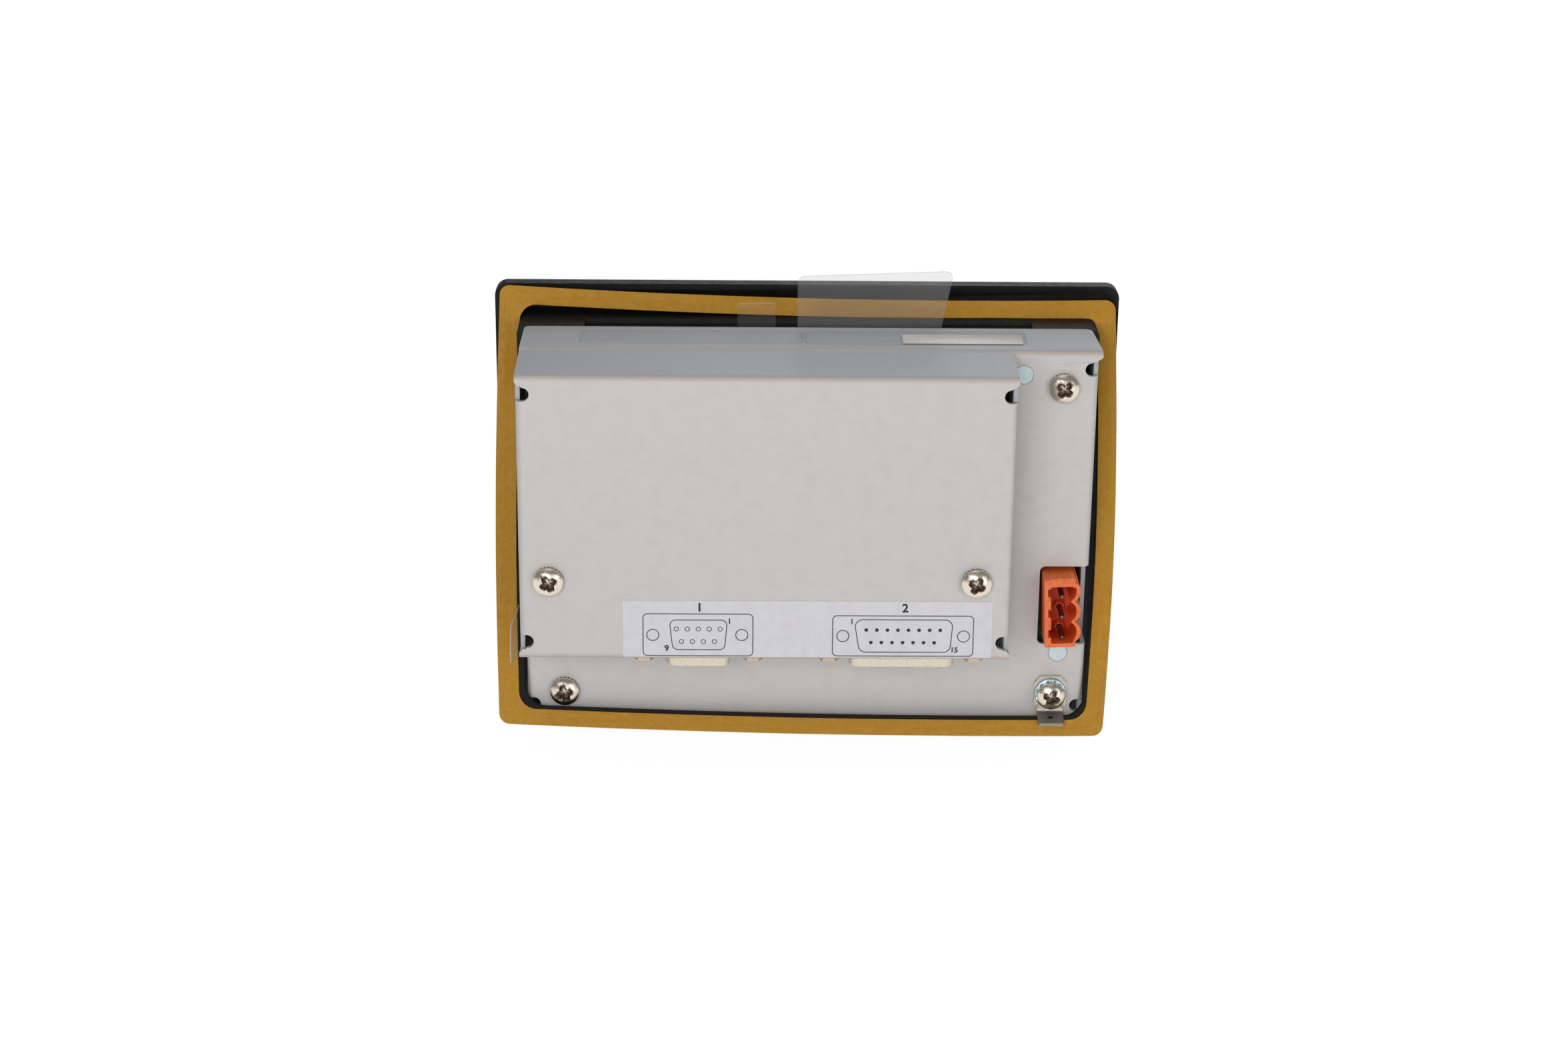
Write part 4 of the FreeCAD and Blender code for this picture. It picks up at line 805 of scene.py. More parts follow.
# outline of the opening round the power header, out to and past the side bend
opening_in = HEADER_HIGH[0] + 0.9
opening_low, opening_high = HEADER_LOW[2] - 1.6, HEADER_HIGH[2] + 1.2
header_opening = rounded([(BASE_LOW[0] - 6.0, opening_low), (BASE_LOW[0] - 6.0, opening_high),
                          (opening_in, opening_high), (opening_in, opening_low)],
                         [0.8, 0.8, 1.3, 1.3])
folded_cover("base_cover_folded", "base_cover", BASE_HIGH[1] - BASE_LOW[1], BASE_EARS,
             [header_opening] + [circle(x, z, DISC + 0.02, 40) for x, z in DISCS])
# openings in the port cover's lower flange, each a little wider than its port's own flange
MOUTH_WIDTH = {"port_1_shell": 31.4, "port_2_shell": 39.7}
mouth_z = PORT_LOW[2] + BEND - BEND_RUN - 6.1
mouths = [rectangle(middle_of(shell)[0], mouth_z, width, 12.9, 0.8) for shell, width in MOUTH_WIDTH.items()]
folded_cover("port_cover_folded", "port_cover", PORT_HIGH[1] - PORT_LOW[1],
             PORT_EARS, mouths)


# ---------------------------------------------------------------- screws
HEAD_HEIGHT, HEAD_RIM = 2.0, 0.75  # a pan head's height at its middle and where its dome ends
HEAD_RADIUS = 3.4
HEAD_REACH = 3.45                  # from a screw's middle to the edge of its node's box
WASHER_THICK = 0.62


def screw_head(x, z, seat, radius, turn, seed):
    """A pan head seen from behind: rings of points out from the recess's middle to the rim.

    The recess is a worn cross, its radius 1.74 + 0.33 cos(4a) - 0.07 cos(8a) millimetres at angle a,
    with a flat floor and steep walls; outside it the dome falls as the radius to the power 2.6. Ragged
    burrs stand up round the recess.
    """
    chance = np.random.default_rng(seed)
    steps = 96
    angle = np.linspace(0, 2 * np.pi, steps, endpoint=False)
    ragged = chance.normal(0, 1, (3, steps))
    ragged = np.stack([np.convolve(np.tile(row, 3), np.ones(3) / 3, "same")[steps:2 * steps]
                       for row in ragged])
    from_slot = angle - math.radians(turn)
    star = 1.74 + 0.33 * np.cos(4 * from_slot) - 0.07 * np.cos(8 * from_slot) + 0.1 * ragged[0]
    star = star * radius / HEAD_RADIUS
    inner = np.array([0.0, 0.12, 0.3, 0.55, 0.72])
    floor = np.array([1.0, 1.05, 1.2, 1.45, 1.4])
    rows_r = [star * f for f in inner] + [star * 0.88, star * 0.97, star * 1.03, star * 1.12]
    dome = lambda r: HEAD_HEIGHT - (HEAD_HEIGHT - HEAD_RIM) * (r / radius) ** 2.6
    rows_y = [dome(star * 0.3) - d for d in floor]
    burr = np.clip(ragged[1], -0.4, 1.6) * 0.1
    rows_y += [dome(star) - 0.8, dome(star) - 0.12 + burr * 0.5, dome(star) + 0.05 + burr,
               dome(star * 1.12)]
    for share in (0.25, 0.5, 0.7, 0.84, 0.93, 0.98):
        r = star * 1.12 + (radius - star * 1.12) * share
        rows_r.append(r)
        rows_y.append(dome(r))
    rows_r += [np.full(steps, radius), np.full(steps, radius), np.full(steps, radius * 0.96),
               np.zeros(steps)]
    rows_y += [np.full(steps, 0.62), np.full(steps, 0.12), np.zeros(steps), np.zeros(steps)]
    r, y = np.stack(rows_r), np.stack([np.broadcast_to(v, steps) for v in rows_y])
    points = np.stack([x + r * np.cos(angle), seat + y, z + r * np.sin(angle)], axis=-1)
    # where the recess's painted shade lies: full on its outer floor and walls, weaker at its middle and lip
    recess = np.zeros(r.shape)
    recess[:6] = 1.0
    recess[:3] = 0.55
    recess[6] = 0.6
    bright = np.zeros(r.shape)
    bright[6:9] = np.clip(0.45 + 0.4 * ragged[2], 0, 1)
    return grid(points, wrap_columns=True), recess.ravel(), bright.ravel()


def toothed_washer(x, z, seat, inner, outer, thick, teeth=22):
    """A serrated lock washer: a flat ring whose rim steps in and out with its teeth, each twisted
    a little so that it stands up at one corner."""
    steps = teeth * 6
    angle = np.linspace(0, 2 * np.pi, steps, endpoint=False)
    tooth = np.tile([0, 0, 1, 1, 1, 0], teeth)
    twist = np.tile([0, 0, 0.5, 0.0, -0.5, 0], teeth) * thick * 0.5
    rim = outer - (1 - tooth) * (outer - inner) * 0.3
    rows = [(np.full(steps, inner), 0.0), (np.full(steps, inner), thick), (rim * 0.985, thick + twist),
            (rim, thick * 0.8 + twist), (rim, thick * 0.2 + twist), (rim * 0.985, 0.0)]
    points = np.stack([np.stack([x + r * np.cos(angle), seat + np.broadcast_to(y, steps),
                                 z + r * np.sin(angle)], axis=-1) for r, y in rows])
    return grid(points, wrap_rows=True, wrap_columns=True)


def screw_stack(name, places, seat, stands_for, seed, head_rise=0.6, radius=HEAD_RADIUS):
    """Screws of one kind as one piece, each turned its own way and raised over its washers."""
    heads, marks, bright = [], [], []
    for i, (x, z, turn) in enumerate(places):
        shape, recess, edge = screw_head(x, z, seat + head_rise, radius, turn, seed + i)
        heads.append(shape)
        marks.append(recess)
        bright.append(edge)
    make_piece(name, heads, NICKEL_SCREW, stands_for=[stands_for],
               weight={"recess": np.concatenate(marks), "burr": np.concatenate(bright)}, smooth=50)


low, high = span("base_cover_screws")
left, right, bottom, top = (low[0] + HEAD_REACH, high[0] - HEAD_REACH, low[2] + HEAD_REACH,
                            high[2] - HEAD_REACH)
base_places = [(left, top, 38), (right, top, 12), (right, bottom, 70)]
screw_stack("base_cover_screw_heads", base_places, BASE_HIGH[1], "base_cover_screws", 11)
low, high = span("port_cover_screws")
port_places = [(low[0] + HEAD_REACH, low[2] + HEAD_REACH, 27),
               (high[0] - HEAD_REACH, low[2] + HEAD_REACH, 58)]
screw_stack("port_cover_screw_heads", port_places, PORT_HIGH[1], "port_cover_screws", 21)
washers = [toothed_washer(x, z, seat, 2.0, 3.36, WASHER_THICK)
           for seat, places in ((BASE_HIGH[1], base_places), (PORT_HIGH[1], port_places))
           for x, z, _ in places]
make_piece("lock_washers", washers, WASHER_DARK)

# ---------------------------------------------------------------- ground terminal
GROUND_X, GROUND_Z = middle_of("ground_screw")
LUG_LOW, LUG_HIGH = span("ground_lug")
LUG_THICK = 0.8
lug_face = BASE_HIGH[1] + LUG_THICK
WASHER_FACE = lug_face + 0.45      # the flat washer's rear face
screw_stack("ground_screw_head", [(GROUND_X, GROUND_Z, 20)], lug_face, "ground_screw", 31, 1.5, 3.3)


def ground_lug():
    """A push-on terminal cut flat and folded: a plate with chamfered top corners and a narrower tab
    that turns outwards about its lower edge, with a detent hole near its end."""
    half = (LUG_HIGH[0] - LUG_LOW[0]) / 2
    tab, fold_z, length = 3.05, LUG_LOW[2] + 0.95, 6.0
    outline = rounded([(-half, LUG_HIGH[2] - 1.7), (-half, fold_z + 0.9), (-half + 0.5, fold_z + 0.2),
                       (-tab, fold_z + 0.3), (-tab, fold_z - length), (tab, fold_z - length),
                       (tab, fold_z + 0.3), (half - 0.5, fold_z + 0.2), (half, fold_z + 0.9),
                       (half, LUG_HIGH[2] - 1.7), (half - 1.5, LUG_HIGH[2]), (-half + 1.5, LUG_HIGH[2])],
                      [0.3, 0.3, 0.2, 0, 0.7, 0.7, 0, 0.2, 0.3, 0.3, 0.6, 0.6], 4)
    hole = circle(0, fold_z - length * 0.52, 0.62, 16)
    bore = circle(0, GROUND_Z, 1.8, 24)
    fold = np.linspace(0, 1.1, 6)
    flat, faces = blank(outline, [hole, bore], [[(-9, fold_z - f), (9, fold_z - f)] for f in fold])
    radius, full = 0.9, math.radians(84)

    def place(points, inset):
        past = np.maximum(fold_z - points[:, 1], 0)
        turn = np.minimum(past / radius, full)
        beyond = np.maximum(past - radius * full, 0)
        y = lug_face + radius - (radius + inset) * np.cos(turn) + beyond * math.sin(full)
        z = fold_z - (radius + inset) * np.sin(turn) - beyond * math.cos(full)
        return np.stack([GROUND_X + points[:, 0], y, np.where(past > 0, z, points[:, 1])], axis=1)

    # the tab's painted shade: none above the fold, full 1.2 mm past it
    tab_painted_shade = np.tile(np.clip((fold_z - flat[:, 1]) / 1.2, 0, 1), 2)
    made = make_piece("ground_lug_folded", walled(flat, faces, place, 0.78), TINNED_BRASS,
                      stands_for=["ground_lug"], weight={"tab": tab_painted_shade})
    ease(made, 0.08, FOLDED_ANGLE)


ground_lug()
ring = turned([(1.7, lug_face), (1.7, WASHER_FACE), (3.55, WASHER_FACE), (3.75, lug_face + 0.3),
               (3.8, lug_face + 0.12), (3.7, lug_face), (1.7, lug_face)], GROUND_X, GROUND_Z, 64)
make_piece("ground_flat_washer", ring, BLUE_ZINC, stands_for=["ground_washer"])
make_piece("ground_lock_washer", toothed_washer(GROUND_X, GROUND_Z, WASHER_FACE, 1.8, 3.5, 0.9, 12),
           BLUE_ZINC)

# ---------------------------------------------------------------- clinched discs' press joints
joint_in, joint_out = DISC + 0.02, DISC + 0.1
joint_top, joint_foot = BASE_HIGH[1] + 0.012, BASE_HIGH[1] - 0.05
joint = [(joint_in, joint_top), (joint_out, joint_top), (joint_out, joint_foot), (joint_in, joint_foot),
         (joint_in, joint_top)]
# a dark ring in each press joint's gap: grease, and painted shade
make_piece("disc_joints", [turned(joint, x, z) for x, z in DISCS], GAP_DARK)


# ---------------------------------------------------------------- seal and its release paper
SEAL_TILT = math.radians(18.2)
SEAL_Y = 2.6                       # depth of the hinge line, where the seal hangs on the collar
SEAL_HINGE = BASE_HIGH[2] + 0.3    # height of that line
# edges of the seal's ring before it bows: left, right, top, bottom and corner radius
SEAL_OUTER = (-72.0, 72.05, -3.15, 98.65, 2.4)
SEAL_INNER = (-67.2, 67.75, 1.0, 94.85, 3.9)
SEAL_SNUG = (-65.7, 67.1, 1.0, 94.1, 4.8)


def seal_outline(left, right, top, bottom, radius):
    """A bowed rounded frame edge in the seal's own plane: x across to the rear view's right and h
    down from the hinge. Each corner is an arc and each side is divided, and then the whole plane
    is warped: the left and right sides swell by a sine, the right side closes in towards the
    bottom, and the top and bottom sides follow shallow parabolas."""
    corners = rounded([(left, top), (left, bottom), (right, bottom), (right, top)], radius, 7)
    corners = corners.reshape(4, -1, 2)
    start, end = corners[:, -1:], np.roll(corners, -1, 0)[:, :1]
    share = np.linspace(0, 1, 42)[None, 1:-1, None]
    path = np.concatenate([corners, start + (end - start) * share], axis=1).reshape(-1, 2)
    path = np.vstack([path, path[:1]])
    x, h = path[:, 0], path[:, 1]
    across, down = np.clip((x + 70) / 140, 0, 1), np.clip(h / 97, 0, 1)
    swell = np.sin(np.pi * down)
    bow_left = -0.9 * swell
    bow_right = 0.9 * swell - 2.0 * down ** 2
    rise_top = -0.00027 * (x - 36) ** 2 + 0.55
    rise_bottom = 1.1 - 0.00019 * (x - 45) ** 2
    return np.stack([x + bow_left * (1 - across) + bow_right * across,
                     h + rise_top * (1 - down) + rise_bottom * down], axis=1)


def seal_ring(rows, snug=False):
    """A closed frame from (outer share, thickness) rows: share 0 lies on the outer edge and 1 on
    the inner, and thickness is measured out from the foam's front face. A snug frame's inner edge
    closes in on the cover in its lower half."""
    outer, inner = seal_outline(*SEAL_OUTER), seal_outline(*SEAL_INNER)
    if snug:
        low = np.clip((inner[:, 1:] - 50) / 30, 0, 1)
        inner = inner + (seal_outline(*SEAL_SNUG) - inner) * low * low * (3 - 2 * low)
    middle = (outer + inner) / 2
    run = np.concatenate([[0], np.cumsum(np.linalg.norm(np.diff(middle, axis=0), axis=1))])
    lap = 2 * np.pi * run / run[-1]
    wave = 0.10 * np.sin(9 * lap) + 0.07 * np.sin(23 * lap + 1)
    sine, cosine = math.sin(SEAL_TILT), math.cos(SEAL_TILT)
    points, places = [], []
    for share, lift, ripple in rows:
        x, down = (outer + (inner - outer) * share).T
        out = lift + ripple * wave
        points.append(np.stack([-x, SEAL_Y + down * sine + out * cosine,
                                SEAL_HINGE - down * cosine + out * sine], axis=1))
        places.append(np.stack([run, np.full(len(run), share * 4.4 + lift)], axis=1) * MM)
    points, places = np.stack(points), np.stack(places)
    points, places = np.vstack([points, points[:1]]), np.vstack([places, places[-1:]])
    return grid(points), places.reshape(-1, 2)


foam, _ = seal_ring([(0.02, 0.0, 0), (0.06, 1.5, 0.5), (0.02, 3.0, 1), (0.98, 3.0, 1),
                     (0.93, 1.5, 0.5), (0.98, 0.0, 0)], snug=True)
make_piece("seal_foam_bowed", foam, FOAM_BLACK, stands_for=["seal_foam"])
paper, places = seal_ring([(0.0, 3.0, 1), (0.0, 3.26, 1), (0.03, 3.3, 1), (0.28, 3.32, 1.15),
                           (0.36, 3.40, 1.2), (0.44, 3.32, 1.1), (0.7, 3.3, 0.9), (0.97, 3.3, 1),
                           (1.0, 3.26, 1), (1.0, 3.0, 1)])
make_piece("seal_liner_bowed", paper, LINER_KRAFT, stands_for=["seal_liner"],
           uv=places, smooth=60)


# ---------------------------------------------------------------- legend strips
def film_strip(name, base, along, across, width, length, taper=0.0, skew=0.0, bow=0.0, curl=0.0,
               corner=2.0, curl_run=2.0, lean=0.0, film=STRIP_FILM):
    """A clear film that slides into a slot: a grid along and across it.

    At share v of its length and share u of its width it lies at base + v along + u across, widened
    evenly by taper towards its end, its end raised by skew from one side to the other, its middle
    leaned across by lean v, lifted off its plane by bow times a half sine, and its last curl_run
    millimetres curled back by curl.
    """
    base, along, across = (np.asarray(v, float) for v in (base, along, across))
    lift = np.cross(along, across)
    u = np.concatenate([np.linspace(-0.5, -0.5 + corner / width, 6), np.linspace(-0.5, 0.5, 15)[1:-1],
                        np.linspace(0.5 - corner / width, 0.5, 6)])
    u = np.unique(np.round(u, 5))
    v = np.concatenate([np.linspace(0, 0.85, 16), np.linspace(0.87, 1, 9)])
    over = np.maximum(np.abs(u) * width - (width / 2 - corner), 0)
    reach = length - (corner - np.sqrt(np.maximum(corner ** 2 - over ** 2, 0))) + skew * u
    run = v[:, None] * reach[None]
    wide = width * (1 + taper * (v[:, None] - 1)) * u[None] + lean * v[:, None]
    off = bow * np.sin(np.pi * np.clip(v, 0, 1))[:, None] * (1 - (2 * u[None]) ** 2 * 0.4)
    end = np.clip((run - (length - curl_run)) / curl_run, 0, 1)
    off = off - curl * end ** 2
    points = base + run[..., None] * along + wide[..., None] * across + off[..., None] * lift
    node = "legend_strip_" + name
    made = make_piece("legend_film_" + name, grid(points), film, body=node,
                      stands_for=[node], recalculate=False)
    made.data.materials.append(STRIP_EDGE)
    solidify(made, 0.22, 0.0).material_offset_rim = 1


STRIP_IN = 10                      # length of a top strip inside the collar
LEAN = math.radians(36)            # a top strip's slant off the vertical
SIDE_LEAN = math.radians(88)       # the side strip's slant off straight across
TOP_STRIPS = {
    "wide": (20, dict(taper=0.08, skew=-2.2, bow=0.25, lean=-0.9)),
    "narrow": (8, dict(skew=-0.2, curl=0.7, corner=0.6, film=STRIP_CLEAR)),
}
for name, (out, shape) in TOP_STRIPS.items():
    low, high = span("legend_strip_" + name)
    start = ((low[0] + high[0]) / 2, low[1] + 0.15, low[2] + 0.2)
    film_strip(name, start, (0, math.sin(LEAN), math.cos(LEAN)), (1, 0, 0), high[0] - low[0],
               STRIP_IN + out - 0.2, **shape)
low, high = span("legend_strip_side")
start = (low[0] + 0.15, low[1] + 0.1, (low[2] + high[2]) / 2)
film_strip("side", start, (math.cos(SIDE_LEAN), math.sin(SIDE_LEAN), 0), (0, 0, -1), 9.8, 31.0,
           taper=-0.32, skew=1.2, curl=0.9, corner=1.4, curl_run=9.0)


# ---------------------------------------------------------------- power header
PIN_PITCH = 5.08
PINS = np.array([-PIN_PITCH, 0, PIN_PITCH])
LOBE_RADIUS = 2.9
CROOKED = math.radians(2.6)        # how far the moulding leans on its board
PIN_LOW, PIN_HIGH = span("power_pins")
HEADER_X, HEADER_Z = middle_of("power_header")
HEADER_HALF = (HEADER_HIGH - HEADER_LOW)[[0, 2]] / 2


def lobes(low, high, steps, inset):
    """The right wall's line between two heights: at height b it lies sqrt(r^2 - d^2) out from the
    lobes' middles, where r is their radius and d the distance in b to the nearest of them."""
    b = np.linspace(low, high, steps)
    nearest = np.minimum(np.abs(b[:, None] - PINS - 0.4).min(1), 2.6)
    bulge = np.sqrt(LOBE_RADIUS ** 2 - nearest ** 2)
    return np.stack([HEADER_HALF[0] - LOBE_RADIUS + bulge - inset, b], axis=1)


def crooked(path):
    """A path in the header's section, a to the rear view's right and b up from its middle, turned
    a little and placed in the x-z plane."""
    sway, hold = math.sin(CROOKED), math.cos(CROOKED)
    a, b = np.asarray(path).T
    return np.stack([HEADER_X - a * hold + b * sway, HEADER_Z + b * hold + a * sway], axis=1)


def header_case():
    """The three-pole header's moulding: a straight left wall with three square teeth inside, a
    lobed right wall, a sunk floor with a boss round each pin, and two lugs and a rib on its top."""
    half_w, half_h = HEADER_HALF
    outer = np.concatenate([rounded([(3.0, half_h), (-half_w, half_h), (-half_w, -half_h), (3.0, -half_h),
                                     (3.0, -7.35)], [0, 0.3, 0.3, 0.25, 0]),
                            lobes(-7.2, 7.2, 73, 0), [(3.0, 7.35)]])
    left, tooth = -half_w + 1.45, -half_w + 0.85
    teeth = []
    for pin in PINS[::-1]:
        teeth += [(left, pin + 1.1), (tooth, pin + 1.1), (tooth, pin - 0.9), (left, pin - 0.9)]
    foot = [(left, -7.3), (left + 0.3, -7.5), (2.2, -7.5), (2.4, -7.2)]
    inner = np.concatenate([[(left, 6.7)], teeth, foot, lobes(-6.5, 6.3, 65, 0.95), [(2.0, 6.7)]])
    outer, inner = crooked(outer), crooked(inner)
    rim, floor, back = HEADER_HIGH[1], HEADER_LOW[1] + 3.2, HEADER_LOW[1]
    shapes, depth = [], []

    def add(shape, value):
        shapes.append(shape)
        depth.append(np.broadcast_to(value, len(shape[0])))

    add(wall(outer, (back, rim)), 0.0)
    # the well's painted shade: more the deeper a wall lies, all on the floor, most on the bosses
    well = np.linspace(rim, floor, 7)
    add(wall(inner, well), np.repeat(np.clip((rim - well) / 5, 0, 1) ** 0.8, len(inner)))
    for loops, y, value in (((outer, [inner]), rim, 0.0), ((inner,), floor, 1.0), ((outer,), back, 0.0)):
        flat, faces = blank(*loops)
        add((upright(flat, y), faces), value)
    drop = (PIN_LOW[2] + PIN_HIGH[2]) / 2 - HEADER_Z
    posts = crooked(np.stack([np.zeros(3), PINS + drop], axis=1))
    boss = [(0.75, floor + 1.5), (1.05, floor + 1.5), (1.25, floor + 1.2), (1.45, floor)]
    for x, z in posts:
        add(turned(boss, x, z, 24), 0.75)
    for left, right, front in ((-2.95, -1.85, 3.2), (1.9, 3.0, 3.2), (-1.85, 1.9, 0.8)):
        lug = rounded([(left, half_h - 0.3), (right, half_h - 0.3), (right, half_h + 0.28),
                       (left, half_h + 0.28)], 0.08, 2)
        for part in plate(crooked(lug), rim - front, rim - 0.02):
            add(part, 0.0)
    made = make_piece("power_header_case", shapes, ORANGE_PBT,
                      stands_for=["power_header"], weight={"depth": np.concatenate(depth)}, smooth=35)
    ease(made, 0.1, FOLDED_ANGLE)
    return posts


def pin_posts(posts):
    """The header's pins: a square with rounded corners, whose cosine and sine are raised to the
    power 0.45, run from the foot to a blunt tip in rows of (half width, depth)."""
    turn = np.linspace(0, 2 * np.pi, 16, endpoint=False)
    circle_points = np.stack([np.cos(turn), np.sin(turn)], axis=1)
    square = np.sign(circle_points) * np.abs(circle_points) ** 0.45 * 1.1
    foot, tip = PIN_LOW[1], PIN_HIGH[1]
    rows = [(0.0, foot), (0.4, foot), (0.5, foot + 0.4), (0.5, tip - 0.9), (0.46, tip - 0.45),
            (0.33, tip - 0.12), (0.14, tip), (0.0, tip)]
    stems = [grid(np.stack([upright(square * size + post, y) for size, y in rows]), wrap_columns=True)
             for post in posts]
    make_piece("power_pin_posts", stems, PIN_TIN, stands_for=["power_pins"])


pin_posts(header_case())


# ---------------------------------------------------------------- labels and their print
def laid(flat, level, side):
    """Plane coordinates on the rear, the front or the top of the case, at a level along its axis."""
    if side == "top":
        return np.stack([flat[:, 0], flat[:, 1], np.full(len(flat), level)], axis=1)
    return upright(flat, level)


def printed(name, shapes, material, level, side="rear", thick=0.03, body="case"):
    """Flat shapes of (plane points, faces), turned to face outwards and given a film's thickness."""
    solid = []
    for flat, faces in shapes:
        points, faces = laid(flat, level, side), np.asarray(faces)
        a, b, c = (points[faces[:, i]] for i in range(3))
        axis = {"rear": 1, "front": 1, "top": 2}[side]
        facing = -1 if side == "front" else 1
        wrong = np.cross(b - a, c - a)[:, axis] * facing < 0
        faces[wrong] = faces[wrong][:, ::-1]
        solid.append((points, faces))
    made = make_piece(name, solid, material, body=body, recalculate=False)
    solidify(made, thick)
    return made


def stroke(outline, width):
    """A closed line of even width along an outline: points moved half of it to either side."""
    outline = np.asarray(outline, float)
    along = np.roll(outline, -1, 0) - np.roll(outline, 1, 0)
    along /= np.linalg.norm(along, axis=1, keepdims=True)
    aside = np.stack([-along[:, 1], along[:, 0]], axis=1) * width / 2
    both = np.stack([outline - aside, outline + aside])
    points, quads = grid(both, wrap_columns=True)
    return points, np.concatenate([quads[:, [0, 1, 2]], quads[:, [0, 2, 3]]])


LINE = 0.2                         # width of a printed line
INK_LIFT = 0.02                    # height of print above its surface


def port_drawing(frame, holes, shell, rows, rings, figures_at, corner):
    """The outline of one connector on the label, in rear-view coordinates, where x grows to the
    right. frame is (left, right, bottom, top), shell the D's (left, right, height) above and below,
    rows (count, first x, last x, height) and figures_at (text, height, x, z)."""
    left, right, bottom, top = frame
    mirror = lambda path: np.asarray(path) * (-1, 1)
    border = rectangle((left + right) / 2, (bottom + top) / 2, right - left, top - bottom, 1.0)
    shapes = [stroke(mirror(border), LINE)]
    for x, z in holes:
        shapes.append(stroke(mirror(circle(x, z, 1.37, 40)), LINE))
    (left, right, top), (low_left, low_right, bottom) = shell
    outline = rounded([(left, top), (right, top), (low_right, bottom), (low_left, bottom)], corner, 8)
    shapes.append(stroke(mirror(outline), LINE))
    for count, first, last, z in rows:
        for x in np.linspace(first, last, count):
            if rings:
                shapes.append(stroke(mirror(circle(x, z, 0.5, 20)), LINE * 0.85))
            else:
                shapes.append(blank(mirror(circle(x, z, 0.43, 16))))
    return shapes + [figures(text, height, -x, z) for text, height, x, z in figures_at]


socket_port = dict(
    frame=(-37.6, -12.7, -19.4, -9.1), holes=[(-35.4, -14.3), (-15.2, -14.25)],
    shell=((-31.65, -18.5, -10.6), (-30.85, -19.1, -17.9)), corner=1.3,
    rows=[(5, -30.05, -20.1, -12.83), (4, -28.9, -21.4, -15.9)], rings=True,
    figures_at=[("1", 1.25, -18.0, -10.9), ("9", 1.4, -32.25, -17.6), ("1", 2.0, -24.8, -7.6)])
wide_port = dict(
    frame=(5.4, 37.4, -19.3, -9.4), holes=[(7.75, -14.4), (35.2, -14.4)],
    shell=((10.25, 32.75, -10.35), (11.55, 32.15, -18.35)), corner=1.7,
    rows=[(8, 13.05, 29.85, -12.9), (7, 14.15, 28.55, -15.97)], rings=False,
    figures_at=[("1", 1.25, 9.75, -10.9), ("15", 1.25, 33.15, -17.8), ("2", 2.0, 21.8, -7.6)])
printed("port_label_print", port_drawing(**socket_port) + port_drawing(**wide_port), BLACK_INK,
        span("port_label")[1][1] + INK_LIFT)

film_low, film_high = span("rating_label")
film_middle, film_depth = (film_low[1] + film_high[1]) / 2, film_high[1] - film_low[1]
FILM_SPANS = ((-52.4, -1.5), (-1.1, 49.6))  # the two rating films' ends across, in the rear view
films, rims = [], []
for left, right in FILM_SPANS:
    middle, width = -(left + right) / 2, right - left
    films.append(blank(rectangle(middle, film_middle, width, film_depth, 1.6, 8)))
    rims.append(stroke(rectangle(middle, film_middle, width - 0.1, film_depth - 0.1, 1.6, 8), 0.12))
rating = printed("rating_films", films, RATING_FILM, film_high[2], side="top", thick=0.14)
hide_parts("rating_label")
printed("rating_film_rims", rims, STRIP_EDGE, film_high[2] + INK_LIFT, side="top")
low, high = span("blank_sticker")
teeth = np.linspace(low[1], high[1], 19)
serrated = np.stack([high[0] - 0.45 * (np.arange(19) % 2), teeth], axis=1)
outline = np.concatenate([serrated, [(low[0], high[1]), (low[0], low[1])]])
sticker = printed("sticker_serrated", [blank(outline)], STICKER_WHITE, high[2], side="top", thick=0.13)
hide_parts("blank_sticker")


# ---------------------------------------------------------------- print on the front
PALE_INK = material(
    "pale_screen_ink", "#AEB6BE", {"Roughness": 0.5, "IOR": 1.5},
    tints=[("#9BA3AB", 0.6, noise(4, 0.42, 0.62))])
DARK_PANEL_INK = material(
    "charcoal_screen_ink", "#22262A", {"Roughness": 0.48, "IOR": 1.5},
    tints=[("#2B3035", 0.6, noise(11, 0.42, 0.66))],
    bumps=[(0.015, cells(0.5, 0.1, 0.7))])
over_low, over_high = span("keypad_overlay")
view_low, view_high = span("touch_sensor")
front_face = over_low[1]
over_w, _, over_h = over_high - over_low
view_w, _, view_h = view_high - view_low
view_x, view_z = middle_of("touch_sensor")
# the keys of each kind: their number and a cap's width and height
KEYS = {"function_key": (5, 15, 11), "command_key": (6, 11, 10)}
border = stroke(rectangle(0, 0, over_w - 5, over_h - 5, 3.0, 8), 0.5)
panels = [blank(rectangle(view_x, view_z, view_w + 7, view_h + 7, 3, 8),
                [rectangle(view_x, view_z, view_w - 2.0, view_h - 2.0, 0.8, 4)])]
for kind, (count, cap_w, cap_h) in KEYS.items():
    for i in range(count):
        x, z = middle_of(f"{kind}_{i + 1}")
        panels.append(blank(rectangle(x, z, cap_w + 3.2, cap_h + 3.2, 2.6, 8),
                            [rectangle(x, z, cap_w + 0.9, cap_h + 0.9, 1.6, 6)]))
printed("overlay_lines", [border], PALE_INK, front_face - INK_LIFT, side="front")
printed("overlay_panels", panels, DARK_PANEL_INK, front_face - 0.015, side="front")


def arrow(x, z, turn, size=1.9):
    """A solid arrowhead with softened corners, turned by an angle in degrees."""
    a = math.radians(turn)
    tip = np.array([[1.0, 0.0], [-0.62, 0.95], [-0.62, -0.95]]) * size
    spin = np.array([[math.cos(a), -math.sin(a)], [math.sin(a), math.cos(a)]])
    return blank(rounded(tip @ spin.T + (x, z), 0.3, 4))


def bar(x, z, width, height):
    """A filled bar with rounded ends."""
    return blank(rectangle(x, z, width, height, min(width, height) * 0.4, 4))


def key_print(node, ending, shapes):
    """Black print on a key's face, moving with the key."""
    printed(node + ending, shapes, BLACK_INK, span(node)[0][1] - INK_LIFT, side="front", body=node)


